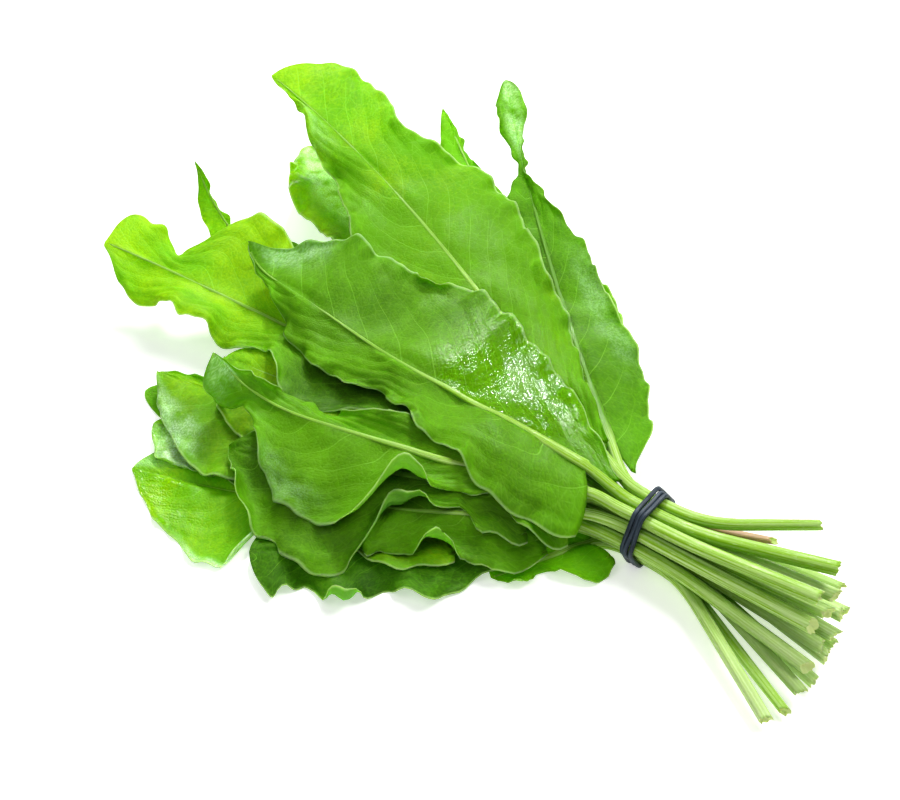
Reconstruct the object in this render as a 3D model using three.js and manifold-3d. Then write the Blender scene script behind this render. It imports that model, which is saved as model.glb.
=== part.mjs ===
// A tied bunch of garden sorrel, lying on a flat surface.
//
// Nineteen cut leaves, each one piece from its cut stalk to the tip of its
// arrow-shaped blade, are held by one wound rubber band. Millimetres and degrees.
// +X runs along the bunch towards the cut ends, +Z is up, and the origin is on
// the surface, under the middle of the band.

import * as THREE from "three";
import { mergeVertices } from "three/addons/utils/BufferGeometryUtils.js";
import Module from "manifold-3d";

const wasm = await Module();
wasm.setup();

// ---------------------------------------------------------------- dimensions

const STALK_RADIUS = 1.92; // half the width of a stalk in the tie
const STALK_PITCH = 4.15; // centre to centre of neighbouring stalks in the tie
const ROW_SIZES = [3, 4, 5, 4, 3]; // stalks in each row of the tie, from the bottom
const ROW_RISE = (STALK_PITCH * Math.sqrt(3)) / 2;
const TAIL_TURN_RUN = 30; // run in which a stalk bends to its own way, cut end side
const HEAD_TURN_RUN = 22; // the same on the leaf side
const STALK_SIDES = 6;
const STALK_STEP = 6; // between the rings of a stalk, about
const TIED_RUN = 8; // run on the leaf side in which the stalks still lie as they do in the tie

const BLADE_THICKNESS = 0.6;
const LOBE_SHARE = 0.21; // how far the basal lobes reach back past the blade's base, of its width
const LEAST_HALF_WIDTH = 1; // of the blade, at its tip
const BLADE_ROWS = 16;
const BLADE_COLUMNS = [-1, -0.64, -0.3, 0, 0.3, 0.64, 1];
const MIDDLE = 3; // the column of the midrib
const RIB_RADIUS = 1.15; // of the midrib where the blade begins
const RIB_RUN = 0.2; // share of the blade over which the midrib tapers away in it
const RIB_END = 0.26;

const BAND_STRANDS = 3;
const STRAND_WIDTH = 1.4;
const STRAND_THICKNESS = 1.1;
const STRAND_CREST = 0.8; // flat width on the outside of each strand
const BAND_GAP = 0.3; // left between the band and the stalks

const LEAF_GAP = 0.4; // least height left between one leaf and the next
const FLOOR_TO_FIRST_ROW = STRAND_THICKNESS + BAND_GAP + STALK_RADIUS;

// -------------------------------------------------------------------- leaves
//
// The leaves in the order in which they lie on each other, the lowest first.
//   slot     row and place in the tie, both counted from 0
//   way      where the leaf heads: degrees from -X, towards +Y
//   rise     how steeply it climbs where its blade begins
//   stalk    from the band to the base of the blade
//   blade    length of the blade; width its greatest width
//   roll     tilt of the blade about its midrib, the +Y side up; twist what it gains by the tip
//   sweep    how far the midrib turns sideways by the tip; droop how far it bends down
//   curl     further bending down in the last third
//   cup      rise of each half from the midrib; bow how far each half bends back down
//   fold     further rise of both halves towards the tip; hang how far the -Y half hangs down
//   wave     height of the waves in the edge; waves their number; phase where they begin
//   skew     how far the waves of the -Y edge are out of step with the others
//   lobed    how deep the waves cut into the outline, as a share of the half width
//   lean     how much wider the -Y half is than the mean half; the +Y half is narrower by as much
//   swell    how full the base is, and point how pointed the tip is, from 0.4, round, to 1, sharp
//   neck     where the blade narrows to a waist, and by what share
//   near     shares by which the outline of the -Y half departs from that even shape, base to tip;
//            far the same for the +Y half; neither where the half is even
//   tail     the cut end: its length past the band, and the way and rise of it
//   cut      how much thicker the stalk is at its cut end, as a share; thinner where it is negative
const USUAL = {
  twist: 0, sweep: 0, droop: 0, curl: 0, cup: 0, bow: 10, fold: 0, hang: 0, waves: 2.5, skew: 140,
  lobed: 0.06, lean: 0, swell: 0.45, point: 0.6, neck: [0.5, 0],
  near: [], far: [], cut: 0.1,
};
const LEAVES = [
  // On the surface.
  { slot: [0, 0], way: -62, rise: -2, stalk: 15, blade: 30, width: 28, roll: 4, wave: 1.5, phase: 0,
    bow: 20, cup: 4, cut: -0.25,
    near: [1.15, 1.21, 1.07, 0.92, 0.72, 0.48, 0.32, 0.29, 0.42, 0.56, 0.5, 0.34, 0.25],
    tail: [66, -26, 0] },
  { slot: [0, 1], way: -43, rise: 0, stalk: 52, blade: 61, width: 46, roll: 2, wave: 4, phase: 30,
    sweep: 4, lobed: 0.1, waves: 3, cut: 0.05,
    near: [0.95, 0.78, 0.82, 1, 0.86, 0.68, 0.74, 1.11, 1.09, 0.65, 0.8, 1.52, 1.49],
    tail: [64, -16, 0] },
  { slot: [1, 0], way: -26, rise: -4, stalk: 62, blade: 88, width: 60, roll: 4, wave: 2, phase: 100,
    sweep: 10, cup: 2, cut: 0,
    near: [1.11, 0.95, 0.78, 0.61, 0.48, 0.44, 0.59, 1.02, 1.16, 1.04, 0.94, 0.74, 0.37],
    tail: [66, -31, -3] },
  { slot: [0, 2], way: 46, rise: -2, stalk: 48, blade: 94, width: 32, roll: 0, wave: 2, phase: 200,
    cut: 0, tail: [60, -5, 0] },
  { slot: [1, 1], way: -13, rise: -3, stalk: 66, blade: 95, width: 36, roll: 2, wave: 1.5, phase: 40,
    cut: 0, tail: [65, -21, -2] },
  // The middle of the bunch.
  { slot: [2, 0], way: -18, rise: -3, stalk: 58, blade: 91, width: 46, roll: 8, wave: 2, phase: 80,
    sweep: 8, hang: 8,
    near: [1.03, 1.02, 1.01, 0.98, 0.93, 0.85, 0.76, 0.67, 0.64, 0.74, 1.17, 1.21, 1.02],
    far: [1.04, 1.06, 1.07, 1.06, 1, 0.88, 0.67, 0.39, 0.25, 0.25, 0.25, 0.41, 0.77],
    tail: [61, -9, -1] },
  { slot: [2, 1], way: -12, rise: -2, stalk: 60, blade: 98, width: 48, roll: 7, wave: 2, phase: 10,
    sweep: 6, hang: 4,
    near: [0.99, 0.98, 0.97, 0.98, 1, 1.05, 1.13, 1.24, 1.35, 1.43, 1.4, 1.18, 0.75],
    far: [1.01, 1.03, 1.05, 1.05, 1.03, 0.96, 0.84, 0.67, 0.46, 0.28, 0.25, 0.36, 0.25],
    tail: [60, -4, -1] },
  { slot: [2, 4], way: 35, rise: 1, stalk: 52, blade: 132, width: 30, roll: -2, wave: 2, phase: 150,
    droop: -8, point: 0.8, cut: 0,
    far: [1.02, 1.03, 1.04, 1.04, 1.01, 0.95, 0.86, 0.72, 0.55, 0.36, 0.26, 0.25, 0.25],
    tail: [55, 2, 5] },
  { slot: [1, 3], way: 7, rise: 0, stalk: 66, blade: 137, width: 20, roll: -2, wave: 1, phase: 220,
    curl: -62, twist: 20, point: 0.9, cut: -0.1,
    near: [1, 0.98, 0.97, 0.96, 0.95, 0.96, 1, 1.08, 1.21, 1.38, 1.59, 1.82, 0.25],
    far: [1.05, 1.07, 1.08, 1.06, 0.99, 0.84, 0.6, 0.29, 0.25, 0.25, 0.25, 0.5, 1.79],
    tail: [58, 4, 0] },
  { slot: [1, 2], way: 12, rise: 0, stalk: 62, blade: 107, width: 40, roll: -2, wave: 1.5, phase: 260,
    tail: [62, -10, -2] },
  { slot: [2, 2], way: -8, rise: 0, stalk: 58, blade: 83, width: 44, roll: 6, wave: 2, phase: 330,
    near: [0.98, 0.97, 0.97, 0.97, 1, 1.04, 1.11, 1.21, 1.33, 1.46, 1.66, 1.77, 1.45],
    tail: [61, -2, -1] },
  { slot: [3, 0], way: -33, rise: -5, stalk: 36, blade: 46, width: 48, roll: 14, wave: 4, phase: 120,
    sweep: 14, hang: 8, lean: 0.2, lobed: 0.1, bow: 14, waves: 3, cup: -4, cut: 0.22,
    near: [0.73, 0.7, 0.69, 0.66, 0.53, 0.4, 0.42, 0.63, 0.6, 0.66, 0.94, 1.17, 1.36],
    tail: [57, -3, 4] },
  { slot: [3, 1], way: -27, rise: -4, stalk: 46, blade: 78, width: 62, roll: 14, wave: 4, phase: 20,
    sweep: 20, hang: 16, lean: 0.42, lobed: 0.1, bow: 14, waves: 3, cup: -4,
    near: [0.8, 0.54, 0.26, 0.25, 0.52, 0.85, 0.91, 0.94, 1.06, 1.02, 0.81, 0.66, 0.44],
    tail: [58, 0, 4] },
  { slot: [2, 3], way: -1, rise: 0, stalk: 66, blade: 131, width: 48, roll: 6, wave: 5, phase: 321,
    sweep: -14, droop: -10, twist: 10, lean: -0.2, lobed: 0.28, waves: 3.3, skew: 350, point: 0.3,
    near: [1.22, 1.33, 1.41, 1.39, 1.21, 1.05, 0.93, 0.78, 0.54, 0.82, 0.93, 0.67, 0.25],
    far: [1.07, 1.02, 0.96, 0.89, 0.81, 0.72, 0.66, 0.69, 0.88, 1.26, 0.35, 0.59, 0.99],
    tail: [59, 0, 1] },
  { slot: [3, 2], way: 23, rise: -2, stalk: 64, blade: 138, width: 50, roll: -2, wave: 2, phase: 190,
    droop: -14, curl: 30, point: 0.5,
    near: [1.03, 1.01, 0.99, 0.96, 0.93, 0.89, 0.85, 0.84, 0.88, 0.97, 0.97, 0.89, 0.62],
    far: [1, 1.01, 1.02, 1.03, 1.04, 1.04, 1.01, 0.92, 0.76, 0.54, 0.31, 0.25, 0.25],
    tail: [57, 2, 5] },
  { slot: [3, 3], way: 41, rise: 1, stalk: 30, blade: 151, width: 29, roll: 0, wave: 2, phase: 90,
    sweep: 4, droop: -13, twist: 10, fold: 30, waves: 2.8, point: 0.7, cut: -0.45, neck: [0.77, 0.85],
    far: [1.11, 1.26, 1.31, 1.19, 1.01, 0.97, 0.98, 0.68, 0.38, 0.26, 0.54, 1.09, 1.69],
    tail: [34, 13, 11] },
  // The three large leaves on top.
  { slot: [4, 0], way: -20, rise: -5, stalk: 32, blade: 108, width: 58, roll: 16, wave: 5, phase: 310,
    sweep: 35, droop: -14, hang: 18, lean: 0.65, lobed: 0.1, bow: 12, waves: 2.8, swell: 0.6, point: 1,
    cup: -6, cut: 0.12,
    near: [0.8, 0.54, 0.25, 0.25, 0.31, 0.86, 1, 0.86, 0.68, 0.47, 0.29, 0.97, 2.57],
    tail: [56, 0, 8] },
  { slot: [4, 2], way: 26, rise: 1, stalk: 38, blade: 166, width: 50, roll: 2, wave: 3, phase: 70,
    sweep: -25, droop: -16, twist: 6, lean: -0.15, waves: 2.8, point: 0.5, cup: 2, cut: -0.2,
    near: [0.97, 1.01, 1.05, 1.1, 1.15, 1.18, 1.18, 1.1, 0.9, 0.65, 0.55, 0.25, 0.25],
    far: [0.32, 0.45, 0.59, 0.69, 0.73, 0.92, 1.09, 1.05, 0.82, 0.74, 1.17, 1.47, 1.53],
    tail: [48, 17, 20] },
  { slot: [4, 1], way: 2, rise: -2, stalk: 22, blade: 134, width: 52, roll: 8, wave: 2, phase: 0,
    sweep: 5, droop: -14, curl: 16, hang: 6, lean: 0.05, waves: 3, swell: 0.55, point: 0.55, cup: -4,
    cut: 0.15, near: [1.79, 1.47, 1.11, 0.8, 0.84, 0.58, 0.4, 0.55, 0.67, 0.6, 0.37, 0.25, 0.25],
    far: [0.25, 0.73, 1.13, 1.2, 1.24, 1.44, 1.62, 1.44, 1.23, 1.32, 1.72, 2.06, 1.99],
    tail: [56, 9, 10] },
].map((leaf) => ({ ...USUAL, ...leaf }));

// ------------------------------------------------------------------- helpers

const rad = THREE.MathUtils.degToRad;
const clamp = THREE.MathUtils.clamp;
const smooth = (x) => THREE.MathUtils.smoothstep(x, 0, 1);
const mix = THREE.MathUtils.lerp;

/** Where a leaf's stalk passes through the band: its place in the tie's honeycomb. */
function slotCentre([row, place]) {
  return new THREE.Vector3(
    0,
    (place - (ROW_SIZES[row] - 1) / 2) * STALK_PITCH,
    FLOOR_TO_FIRST_ROW + row * ROW_RISE,
  );
}

/** Unit vectors of a line that heads `way` from -X towards +Y and climbs at `rise`. */
function frameAt(way, rise, roll) {
  const [h, p, r] = [rad(way), rad(rise), rad(roll)];
  const along = new THREE.Vector3(-Math.cos(p) * Math.cos(h), Math.cos(p) * Math.sin(h), Math.sin(p));
  const level = new THREE.Vector3(Math.sin(h), Math.cos(h), 0);
  const up = new THREE.Vector3().crossVectors(level, along);
  const side = level.clone().multiplyScalar(Math.cos(r)).addScaledVector(up, Math.sin(r));
  return { along, side, up: new THREE.Vector3().crossVectors(side, along) };
}

/** The leaf's centreline from the band to its tip: a walk of 1 mm steps whose heading
 *  turns away from the tie, then sweeps, droops and curls along the blade. */
function walk(leaf) {
  const angles = (s) => {
    const turn = smooth(s / HEAD_TURN_RUN);
    const u = clamp((s - leaf.stalk) / leaf.blade, 0, 1);
    return {
      way: leaf.way * turn + leaf.sweep * u * u,
      rise: leaf.rise * turn - leaf.droop * u - leaf.curl * smooth((u - 0.62) / 0.38),
      roll: leaf.roll * smooth(s / leaf.stalk) + leaf.twist * u,
    };
  };
  const points = [slotCentre(leaf.slot)];
  for (let s = 0; s < leaf.stalk + leaf.blade; s += 1) {
    const { way, rise } = angles(s + 0.5);
    points.push(points.at(-1).clone().add(frameAt(way, rise, 0).along));
  }
  return (s) => {
    const i = clamp(Math.floor(s), 0, points.length - 2);
    const { way, rise, roll } = angles(s);
    return { point: points[i].clone().lerp(points[i + 1], s - i), ...frameAt(way, rise, roll) };
  };
}

/** Half the blade's width at u, from the base (0) to the tip (1). */
function halfWidth(leaf, u) {
  const shape = (x) => Math.pow(x + 0.06, leaf.swell) * Math.pow(1 - x, leaf.point);
  const widest = (leaf.swell - 0.06 * leaf.point) / (leaf.swell + leaf.point);
  const [neckAt, neckDepth] = leaf.neck;
  const neck = 1 - neckDepth * Math.exp(-Math.pow((u - neckAt) / 0.09, 2));
  return Math.max(LEAST_HALF_WIDTH, (leaf.width / 2) * (shape(u) / shape(widest)) * neck);
}

/** The share of an even half width at u that a list of shares gives, smoothly from one to the next. */
function marginShare(shares, u) {
  if (!shares.length) return 1;
  const at = u * (shares.length - 1);
  const i = Math.min(Math.floor(at), shares.length - 2);
  return mix(shares[i], shares[i + 1], smooth(at - i));
}

/** A point of the blade's middle surface: v runs from -1 to 1 across it. */
function bladePoint(leaf, line, u, v) {
  const { point, along, side, up } = line(leaf.stalk + u * leaf.blade);
  const edge = Math.abs(v);
  const low = v < 0;
  const calm = smooth(u / 0.15) * smooth((1 - u) / 0.2); // no waves at the base and the tip
  const ripple = rad(360 * leaf.waves * u + leaf.phase + (low ? leaf.skew : 0));
  const half =
    halfWidth(leaf, u) *
    (1 + leaf.lobed * calm * Math.cos(ripple)) *
    (low ? 1 + leaf.lean : 1 - leaf.lean) *
    marginShare(low ? leaf.near : leaf.far, u);
  const bend = rad(leaf.cup + leaf.fold * u * u - (low ? leaf.hang : 0) - (leaf.bow * edge) / 2);
  const out = half * edge * Math.cos(bend);
  const lift = half * edge * Math.sin(bend) + leaf.wave * calm * edge * edge * Math.sin(ripple);
  const back = LOBE_SHARE * leaf.width * Math.sin((edge * Math.PI) / 2) * Math.pow(1 - u, 5);
  return point
    .addScaledVector(side, Math.sign(v) * out)
    .addScaledVector(up, lift)
    .addScaledVector(along, -back);
}

const shareAt = (row) => Math.pow(row / BLADE_ROWS, 1.1);
const stalkRadius = (s) => mix(STALK_RADIUS, RIB_RADIUS, smooth(s / 30));
const ribRadius = (u) => mix(RIB_END, RIB_RADIUS, clamp(1 - u / RIB_RUN, 0, 1));

/** The blade's middle surface as rows of points, base to tip. */
function bladeGrid(leaf, line) {
  return Array.from({ length: BLADE_ROWS + 1 }, (_, i) =>
    BLADE_COLUMNS.map((v) => bladePoint(leaf, line, shareAt(i), v)),
  );
}

// ------------------------------------------------- laying the leaves in a pile

// The height of the pile, cell by cell. It starts a gap below the surface, so that
// the lowest leaves come down onto the surface itself.
const CELL = 0.7;
const PILE_MIN = [-235, -165];
const PILE_CELLS = [428, 471];
const pile = new Float64Array(PILE_CELLS[0] * PILE_CELLS[1]).fill(-LEAF_GAP);

const cellOf = (p) =>
  [p.x, p.y].map((c, k) => clamp(Math.floor((c - PILE_MIN[k]) / CELL), 1, PILE_CELLS[k] - 2));

const heightAt = (p) => {
  const [i, j] = cellOf(p);
  return pile[i * PILE_CELLS[1] + j];
};

/** Raises the pile to z at a point and as many cells around it as `spread` says. */
function raisePile(p, z, spread) {
  const [i, j] = cellOf(p);
  for (let a = i - spread; a <= i + spread; a++)
    for (let b = j - spread; b <= j + spread; b++) {
      const k = a * PILE_CELLS[1] + b;
      pile[k] = Math.max(pile[k], z);
    }
}

// Places spread over a square facet pair, by their weights on its four corners. The
// pair is split along the diagonal from its first corner to its last.
const CORNERS = [[0, 0], [1, 0], [0, 1], [1, 1]];
const PLACES = [];
for (let a = 0; a <= 10; a++)
  for (let b = 0; b <= 10; b++) {
    const [x, y] = [a / 10, b / 10];
    PLACES.push([1 - Math.max(x, y), Math.max(x - y, 0), Math.max(y - x, 0), Math.min(x, y)]);
  }

const cornersOf = (grid, i, j) => CORNERS.map(([a, b]) => grid[i + a][j + b]);

const weigh = (corners, weights) =>
  corners[0]
    .clone()
    .multiplyScalar(weights[0])
    .addScaledVector(corners[1], weights[1])
    .addScaledVector(corners[2], weights[2])
    .addScaledVector(corners[3], weights[3]);

/** Visits the facet pairs of a blade. */
function eachPair(visit) {
  for (let i = 0; i < BLADE_ROWS; i++)
    for (let j = 0; j < BLADE_COLUMNS.length - 1; j++) visit(i, j);
}

/** Spread places along a chain of points: which link, how far along it, and the point. */
function alongChain(points, perLink) {
  const places = [];
  for (let i = 0; i < points.length - 1; i++)
    for (let k = 0; k < perLink; k++) {
      const t = k / perLink;
      places.push({ i, t, point: points[i].clone().lerp(points[i + 1], t) });
    }
  return places;
}

/** The stations of a stalk, between the band and the blade. */
function stalkStations(leaf, line) {
  const free = leaf.stalk - TIED_RUN;
  const count = Math.max(2, Math.round(free / STALK_STEP));
  const runs = [0, ...Array.from({ length: count + 1 }, (_, k) => TIED_RUN + (k * free) / count)];
  return runs.map((s) => ({ s, ...line(s), radius: stalkRadius(s) }));
}

/** Spread places on a stalk: its round upper or lower side, as far out as `offs` says. */
function alongStalk(stations, offs) {
  return alongChain(stations.map((one) => one.point), 12).flatMap(({ i, t, point }) => {
    const [a, b] = [stations[i], stations[i + 1]];
    const side = a.side.clone().lerp(b.side, t);
    const radius = mix(a.radius, b.radius, t);
    return offs.map((off) => ({
      i,
      t,
      s: mix(a.s, b.s, t),
      point: point.clone().addScaledVector(side, off * radius),
      reach: radius * Math.sqrt(1 - off * off),
    }));
  });
}

/** Lays one leaf on the pile. Every part that would dip into what already lies there
 *  pushes the nearest points of the leaf up; in between, the blade bends like a stretched
 *  skin and the stalk like a stretched string, tied down at the band. */
function layLeaf(leaf) {
  const line = walk(leaf);
  const grid = bladeGrid(leaf, line);
  const stations = stalkStations(leaf, line);
  const last = stations.length - 1;

  const bladeNeeds = new Map();
  eachPair((i, j) => {
    const corners = cornersOf(grid, i, j);
    const needs = PLACES.map((weights) => {
      const p = weigh(corners, weights);
      return heightAt(p) + LEAF_GAP + BLADE_THICKNESS / 2 - p.z;
    });
    bladeNeeds.set(`${i},${j}`, needs);
  });
  const ribAt = (i) => Math.max(BLADE_THICKNESS / 2, ribRadius(shareAt(i)));
  const ribPlaces = alongChain(grid.map((row) => row[MIDDLE]), 12).map((place) => {
    const reach = mix(ribAt(place.i), ribAt(place.i + 1), place.t);
    return { ...place, reach, need: heightAt(place.point) + LEAF_GAP + reach - place.point.z };
  });
  const stalkNeeds = alongStalk(stations, [-0.9, -0.45, 0, 0.45, 0.9])
    .filter((place) => place.s >= TIED_RUN + 5)
    .map((place) => ({ ...place, need: heightAt(place.point) + LEAF_GAP + place.reach - place.point.z }));

  let lift = grid.map((row) => row.map(() => 0));
  const rise = stations.map(() => 0); // of the stalk
  const shortfall = (needs, i, j, k) => {
    const w = PLACES[k];
    return (
      needs[k] -
      w[0] * lift[i][j] - w[1] * lift[i + 1][j] - w[2] * lift[i][j + 1] - w[3] * lift[i + 1][j + 1]
    );
  };
  for (let pass = 0; pass < 60; pass++) {
    const push = lift.map((row) => row.map(() => 0));
    eachPair((i, j) => {
      const needs = bladeNeeds.get(`${i},${j}`);
      for (let k = 0; k < PLACES.length; k++) {
        const short = shortfall(needs, i, j, k);
        if (short > 0)
          for (let c = 0; c < 4; c++) {
            const [a, b] = CORNERS[c];
            push[i + a][j + b] = Math.max(push[i + a][j + b], short * PLACES[k][c]);
          }
      }
    });
    for (const { i, t, need } of ribPlaces) {
      const short = need - mix(lift[i][MIDDLE], lift[i + 1][MIDDLE], t);
      push[i][MIDDLE] = Math.max(push[i][MIDDLE], short * (1 - t));
      push[i + 1][MIDDLE] = Math.max(push[i + 1][MIDDLE], short * t);
    }
    lift = lift.map((row, i) => row.map((value, j) => value + push[i][j]));
    lift = lift.map((row, i) =>
      row.map((value, j) => {
        const near =
          lift[Math.max(i - 1, 0)][j] +
          lift[Math.min(i + 1, BLADE_ROWS)][j] +
          row[Math.max(j - 1, 0)] +
          row[Math.min(j + 1, row.length - 1)];
        return Math.max(value, (0.9 * near) / 4);
      }),
    );
    rise[last] = Math.max(rise[last], lift[0][MIDDLE]);
    const tug = rise.map(() => 0);
    for (const { i, t, need } of stalkNeeds) {
      const short = need - mix(rise[i], rise[i + 1], t);
      tug[i] = Math.max(tug[i], short * (1 - t));
      tug[i + 1] = Math.max(tug[i + 1], short * t);
    }
    for (let k = 2; k <= last; k++) rise[k] += tug[k];
    for (let round = 0; round < 6; round++) {
      const before = rise.slice();
      for (let k = 2; k < last; k++) rise[k] = Math.max(rise[k], (before[k - 1] + before[k + 1]) / 2);
    }
    lift[0][MIDDLE] = Math.max(lift[0][MIDDLE], rise[last]);
  }
  // What is still short goes up whole.
  const rest = lift.map((row) => row.map(() => 0));
  eachPair((i, j) => {
    const needs = bladeNeeds.get(`${i},${j}`);
    const most = Math.max(...PLACES.map((_, k) => shortfall(needs, i, j, k)));
    for (const [a, b] of CORNERS) rest[i + a][j + b] = Math.max(rest[i + a][j + b], most);
  });
  lift = lift.map((row, i) => row.map((value, j) => value + rest[i][j]));
  const left = rise.map(() => 0);
  for (const { i, t, need } of stalkNeeds) {
    const short = need - mix(rise[i], rise[i + 1], t);
    left[i] = Math.max(left[i], short);
    left[i + 1] = Math.max(left[i + 1], short);
  }
  for (let k = 2; k <= last; k++) rise[k] += left[k];
  rise[last] = Math.max(rise[last], lift[0][MIDDLE]);
  lift[0][MIDDLE] = rise[last];

  grid.forEach((row, i) => row.forEach((p, j) => (p.z += lift[i][j])));
  stations.forEach((one, k) => (one.point.z += rise[k]));

  eachPair((i, j) => {
    const corners = cornersOf(grid, i, j);
    for (const weights of PLACES) {
      const p = weigh(corners, weights);
      raisePile(p, p.z + BLADE_THICKNESS / 2, 1);
    }
  });
  for (const { i, t, reach } of ribPlaces) {
    const p = grid[i][MIDDLE].clone().lerp(grid[i + 1][MIDDLE], t);
    raisePile(p, p.z + Math.max(BLADE_THICKNESS / 2, 0.7 * reach), 1);
  }
  for (const { s, point, reach } of alongStalk(stations, [-0.9, -0.6, -0.3, 0, 0.3, 0.6, 0.9]))
    if (s > 7) raisePile(point, point.z + reach, 0);
  return { leaf, line, grid, stations };
}

// -------------------------------------------------------------------- solids

/** A closed solid from a mesh of points and triangles. */
function solid(points, triangles) {
  const geometry = new THREE.BufferGeometry().setFromPoints(points);
  geometry.setIndex(triangles);
  const merged = mergeVertices(geometry, 1e-4);
  return new wasm.Manifold(
    new wasm.Mesh({
      numProp: 3,
      vertProperties: new Float32Array(merged.attributes.position.array),
      triVerts: new Uint32Array(merged.index.array),
    }),
  );
}

/** A solid back as a three.js geometry. */
function geometryOf(made) {
  const { vertProperties, triVerts } = made.getMesh();
  const geometry = new THREE.BufferGeometry();
  geometry.setAttribute("position", new THREE.BufferAttribute(vertProperties, 3));
  geometry.setIndex(new THREE.BufferAttribute(triVerts, 1));
  geometry.computeVertexNormals();
  return geometry;
}

/** The blade: its middle surface thickened both ways, with both faces split alike. */
function bladeSolid(grid) {
  const rows = grid.length;
  const columns = grid[0].length;
  const normal = (i, j) => {
    const along = grid[Math.min(i + 1, rows - 1)][j].clone().sub(grid[Math.max(i - 1, 0)][j]);
    const across = grid[i][Math.min(j + 1, columns - 1)].clone().sub(grid[i][Math.max(j - 1, 0)]);
    return across.cross(along).normalize();
  };
  const face = (side) =>
    grid.flatMap((row, i) =>
      row.map((p, j) => p.clone().addScaledVector(normal(i, j), (side * BLADE_THICKNESS) / 2)),
    );
  const points = [...face(1), ...face(-1)];
  const under = rows * columns;
  const at = (i, j) => i * columns + j;
  const triangles = [];
  for (let i = 0; i < rows - 1; i++)
    for (let j = 0; j < columns - 1; j++) {
      const [a, b, c, d] = [at(i, j), at(i, j + 1), at(i + 1, j + 1), at(i + 1, j)];
      triangles.push(a, b, c, a, c, d);
      triangles.push(under + a, under + c, under + b, under + a, under + d, under + c);
    }
  const rim = [];
  for (let j = 0; j < columns - 1; j++) rim.push(at(0, j));
  for (let i = 0; i < rows - 1; i++) rim.push(at(i, columns - 1));
  for (let j = columns - 1; j > 0; j--) rim.push(at(rows - 1, j));
  for (let i = rows - 1; i > 0; i--) rim.push(at(i, 0));
  rim.forEach((a, k) => {
    const b = rim[(k + 1) % rim.length];
    triangles.push(a, under + a, under + b, a, under + b, b);
  });
  return solid(points, triangles);
}

/** The stalk's section: rounded below, with a shallow groove along its upper side. */
function stalkRing({ point, side, up }, radius) {
  return Array.from({ length: STALK_SIDES }, (_, k) => {
    const angle = (2 * Math.PI * k) / STALK_SIDES + Math.PI / 2;
    const groove = k === 0 ? 0.66 : 1;
    return point
      .clone()
      .addScaledVector(side, Math.cos(angle) * radius)
      .addScaledVector(up, Math.sin(angle) * radius * groove);
  });
}

/** The cut end of a stalk, from the band outwards, as frames 1 mm apart. */
function tailFrames(leaf) {
  const [length, way, rise] = leaf.tail;
  const frames = [];
  const point = slotCentre(leaf.slot);
  for (let s = 0; s <= length; s += 1) {
    const turn = smooth((s + 0.5) / TAIL_TURN_RUN);
    // It heads the other way, towards +X: its frame is the leaf's, turned to face it.
    const { along, side, up } = frameAt(-way * turn, -rise * turn, 0);
    frames.push({ point: point.clone(), side, up });
    point.sub(along);
  }
  return frames;
}

/** The stalk and the thick start of the midrib: rings from the cut end to inside the blade. */
function stalkSolid({ leaf, line, grid, stations }) {
  const tail = tailFrames(leaf);
  const [length] = leaf.tail;
  const spans = Math.round(length / 12);
  const rings = [];
  for (let k = spans; k > 0; k--) {
    const s = Math.round((k * length) / spans);
    rings.push(stalkRing(tail[s], STALK_RADIUS * (1 + (leaf.cut * s) / length)));
  }
  for (const one of stations) rings.push(stalkRing(one, one.radius));
  for (let i = 1; shareAt(i - 1) < RIB_RUN; i++) {
    const { side, up } = line(leaf.stalk + shareAt(i) * leaf.blade);
    rings.push(stalkRing({ point: grid[i][MIDDLE], side, up }, ribRadius(shareAt(i))));
  }
  const n = STALK_SIDES;
  const triangles = [];
  for (let r = 0; r < rings.length - 1; r++)
    for (let k = 0; k < n; k++) {
      const [a, b] = [r * n + k, r * n + ((k + 1) % n)];
      triangles.push(a, a + n, b + n, a, b + n, b);
    }
  const last = (rings.length - 1) * n;
  for (let k = 1; k < n - 1; k++) {
    triangles.push(0, k, k + 1);
    triangles.push(last, last + k + 1, last + k);
  }
  return solid(rings.flat(), triangles);
}

// ---------------------------------------------------------------------- band

/** Stations round the tie: the convex outline of the stalks, with round corners. */
function bandStations(offset) {
  const centres = ROW_SIZES.flatMap((n, row) => [slotCentre([row, 0]), slotCentre([row, n - 1])]).map(
    (p) => new THREE.Vector2(p.y, p.z),
  );
  const stations = [];
  for (let angle = 0; angle < 360; angle += 22.5) {
    const out = new THREE.Vector2(Math.cos(rad(angle - 90)), Math.sin(rad(angle - 90)));
    const across = new THREE.Vector2(-out.y, out.x);
    const reach = Math.max(...centres.map((c) => c.dot(out)));
    const touching = centres
      .filter((c) => reach - c.dot(out) < 1e-6)
      .sort((a, b) => a.dot(across) - b.dot(across));
    // A side that two stalks touch together is straight: it gives a station at each.
    for (const c of touching.length > 1 ? [touching[0], touching.at(-1)] : touching)
      stations.push({ at: c.clone().addScaledVector(out, offset), out });
  }
  return stations;
}

/** The band's section, across it and outwards: strands side by side, flat on their crests. */
function bandSection() {
  const width = BAND_STRANDS * STRAND_WIDTH;
  const section = [[width / 2, 0], [-width / 2, 0]];
  for (let k = 0; k < BAND_STRANDS; k++) {
    const middle = -width / 2 + (k + 0.5) * STRAND_WIDTH;
    if (k > 0) section.push([middle - STRAND_WIDTH / 2, STRAND_THICKNESS * 0.62]);
    section.push([middle - STRAND_CREST / 2, STRAND_THICKNESS]);
    section.push([middle + STRAND_CREST / 2, STRAND_THICKNESS]);
  }
  return section;
}

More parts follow.
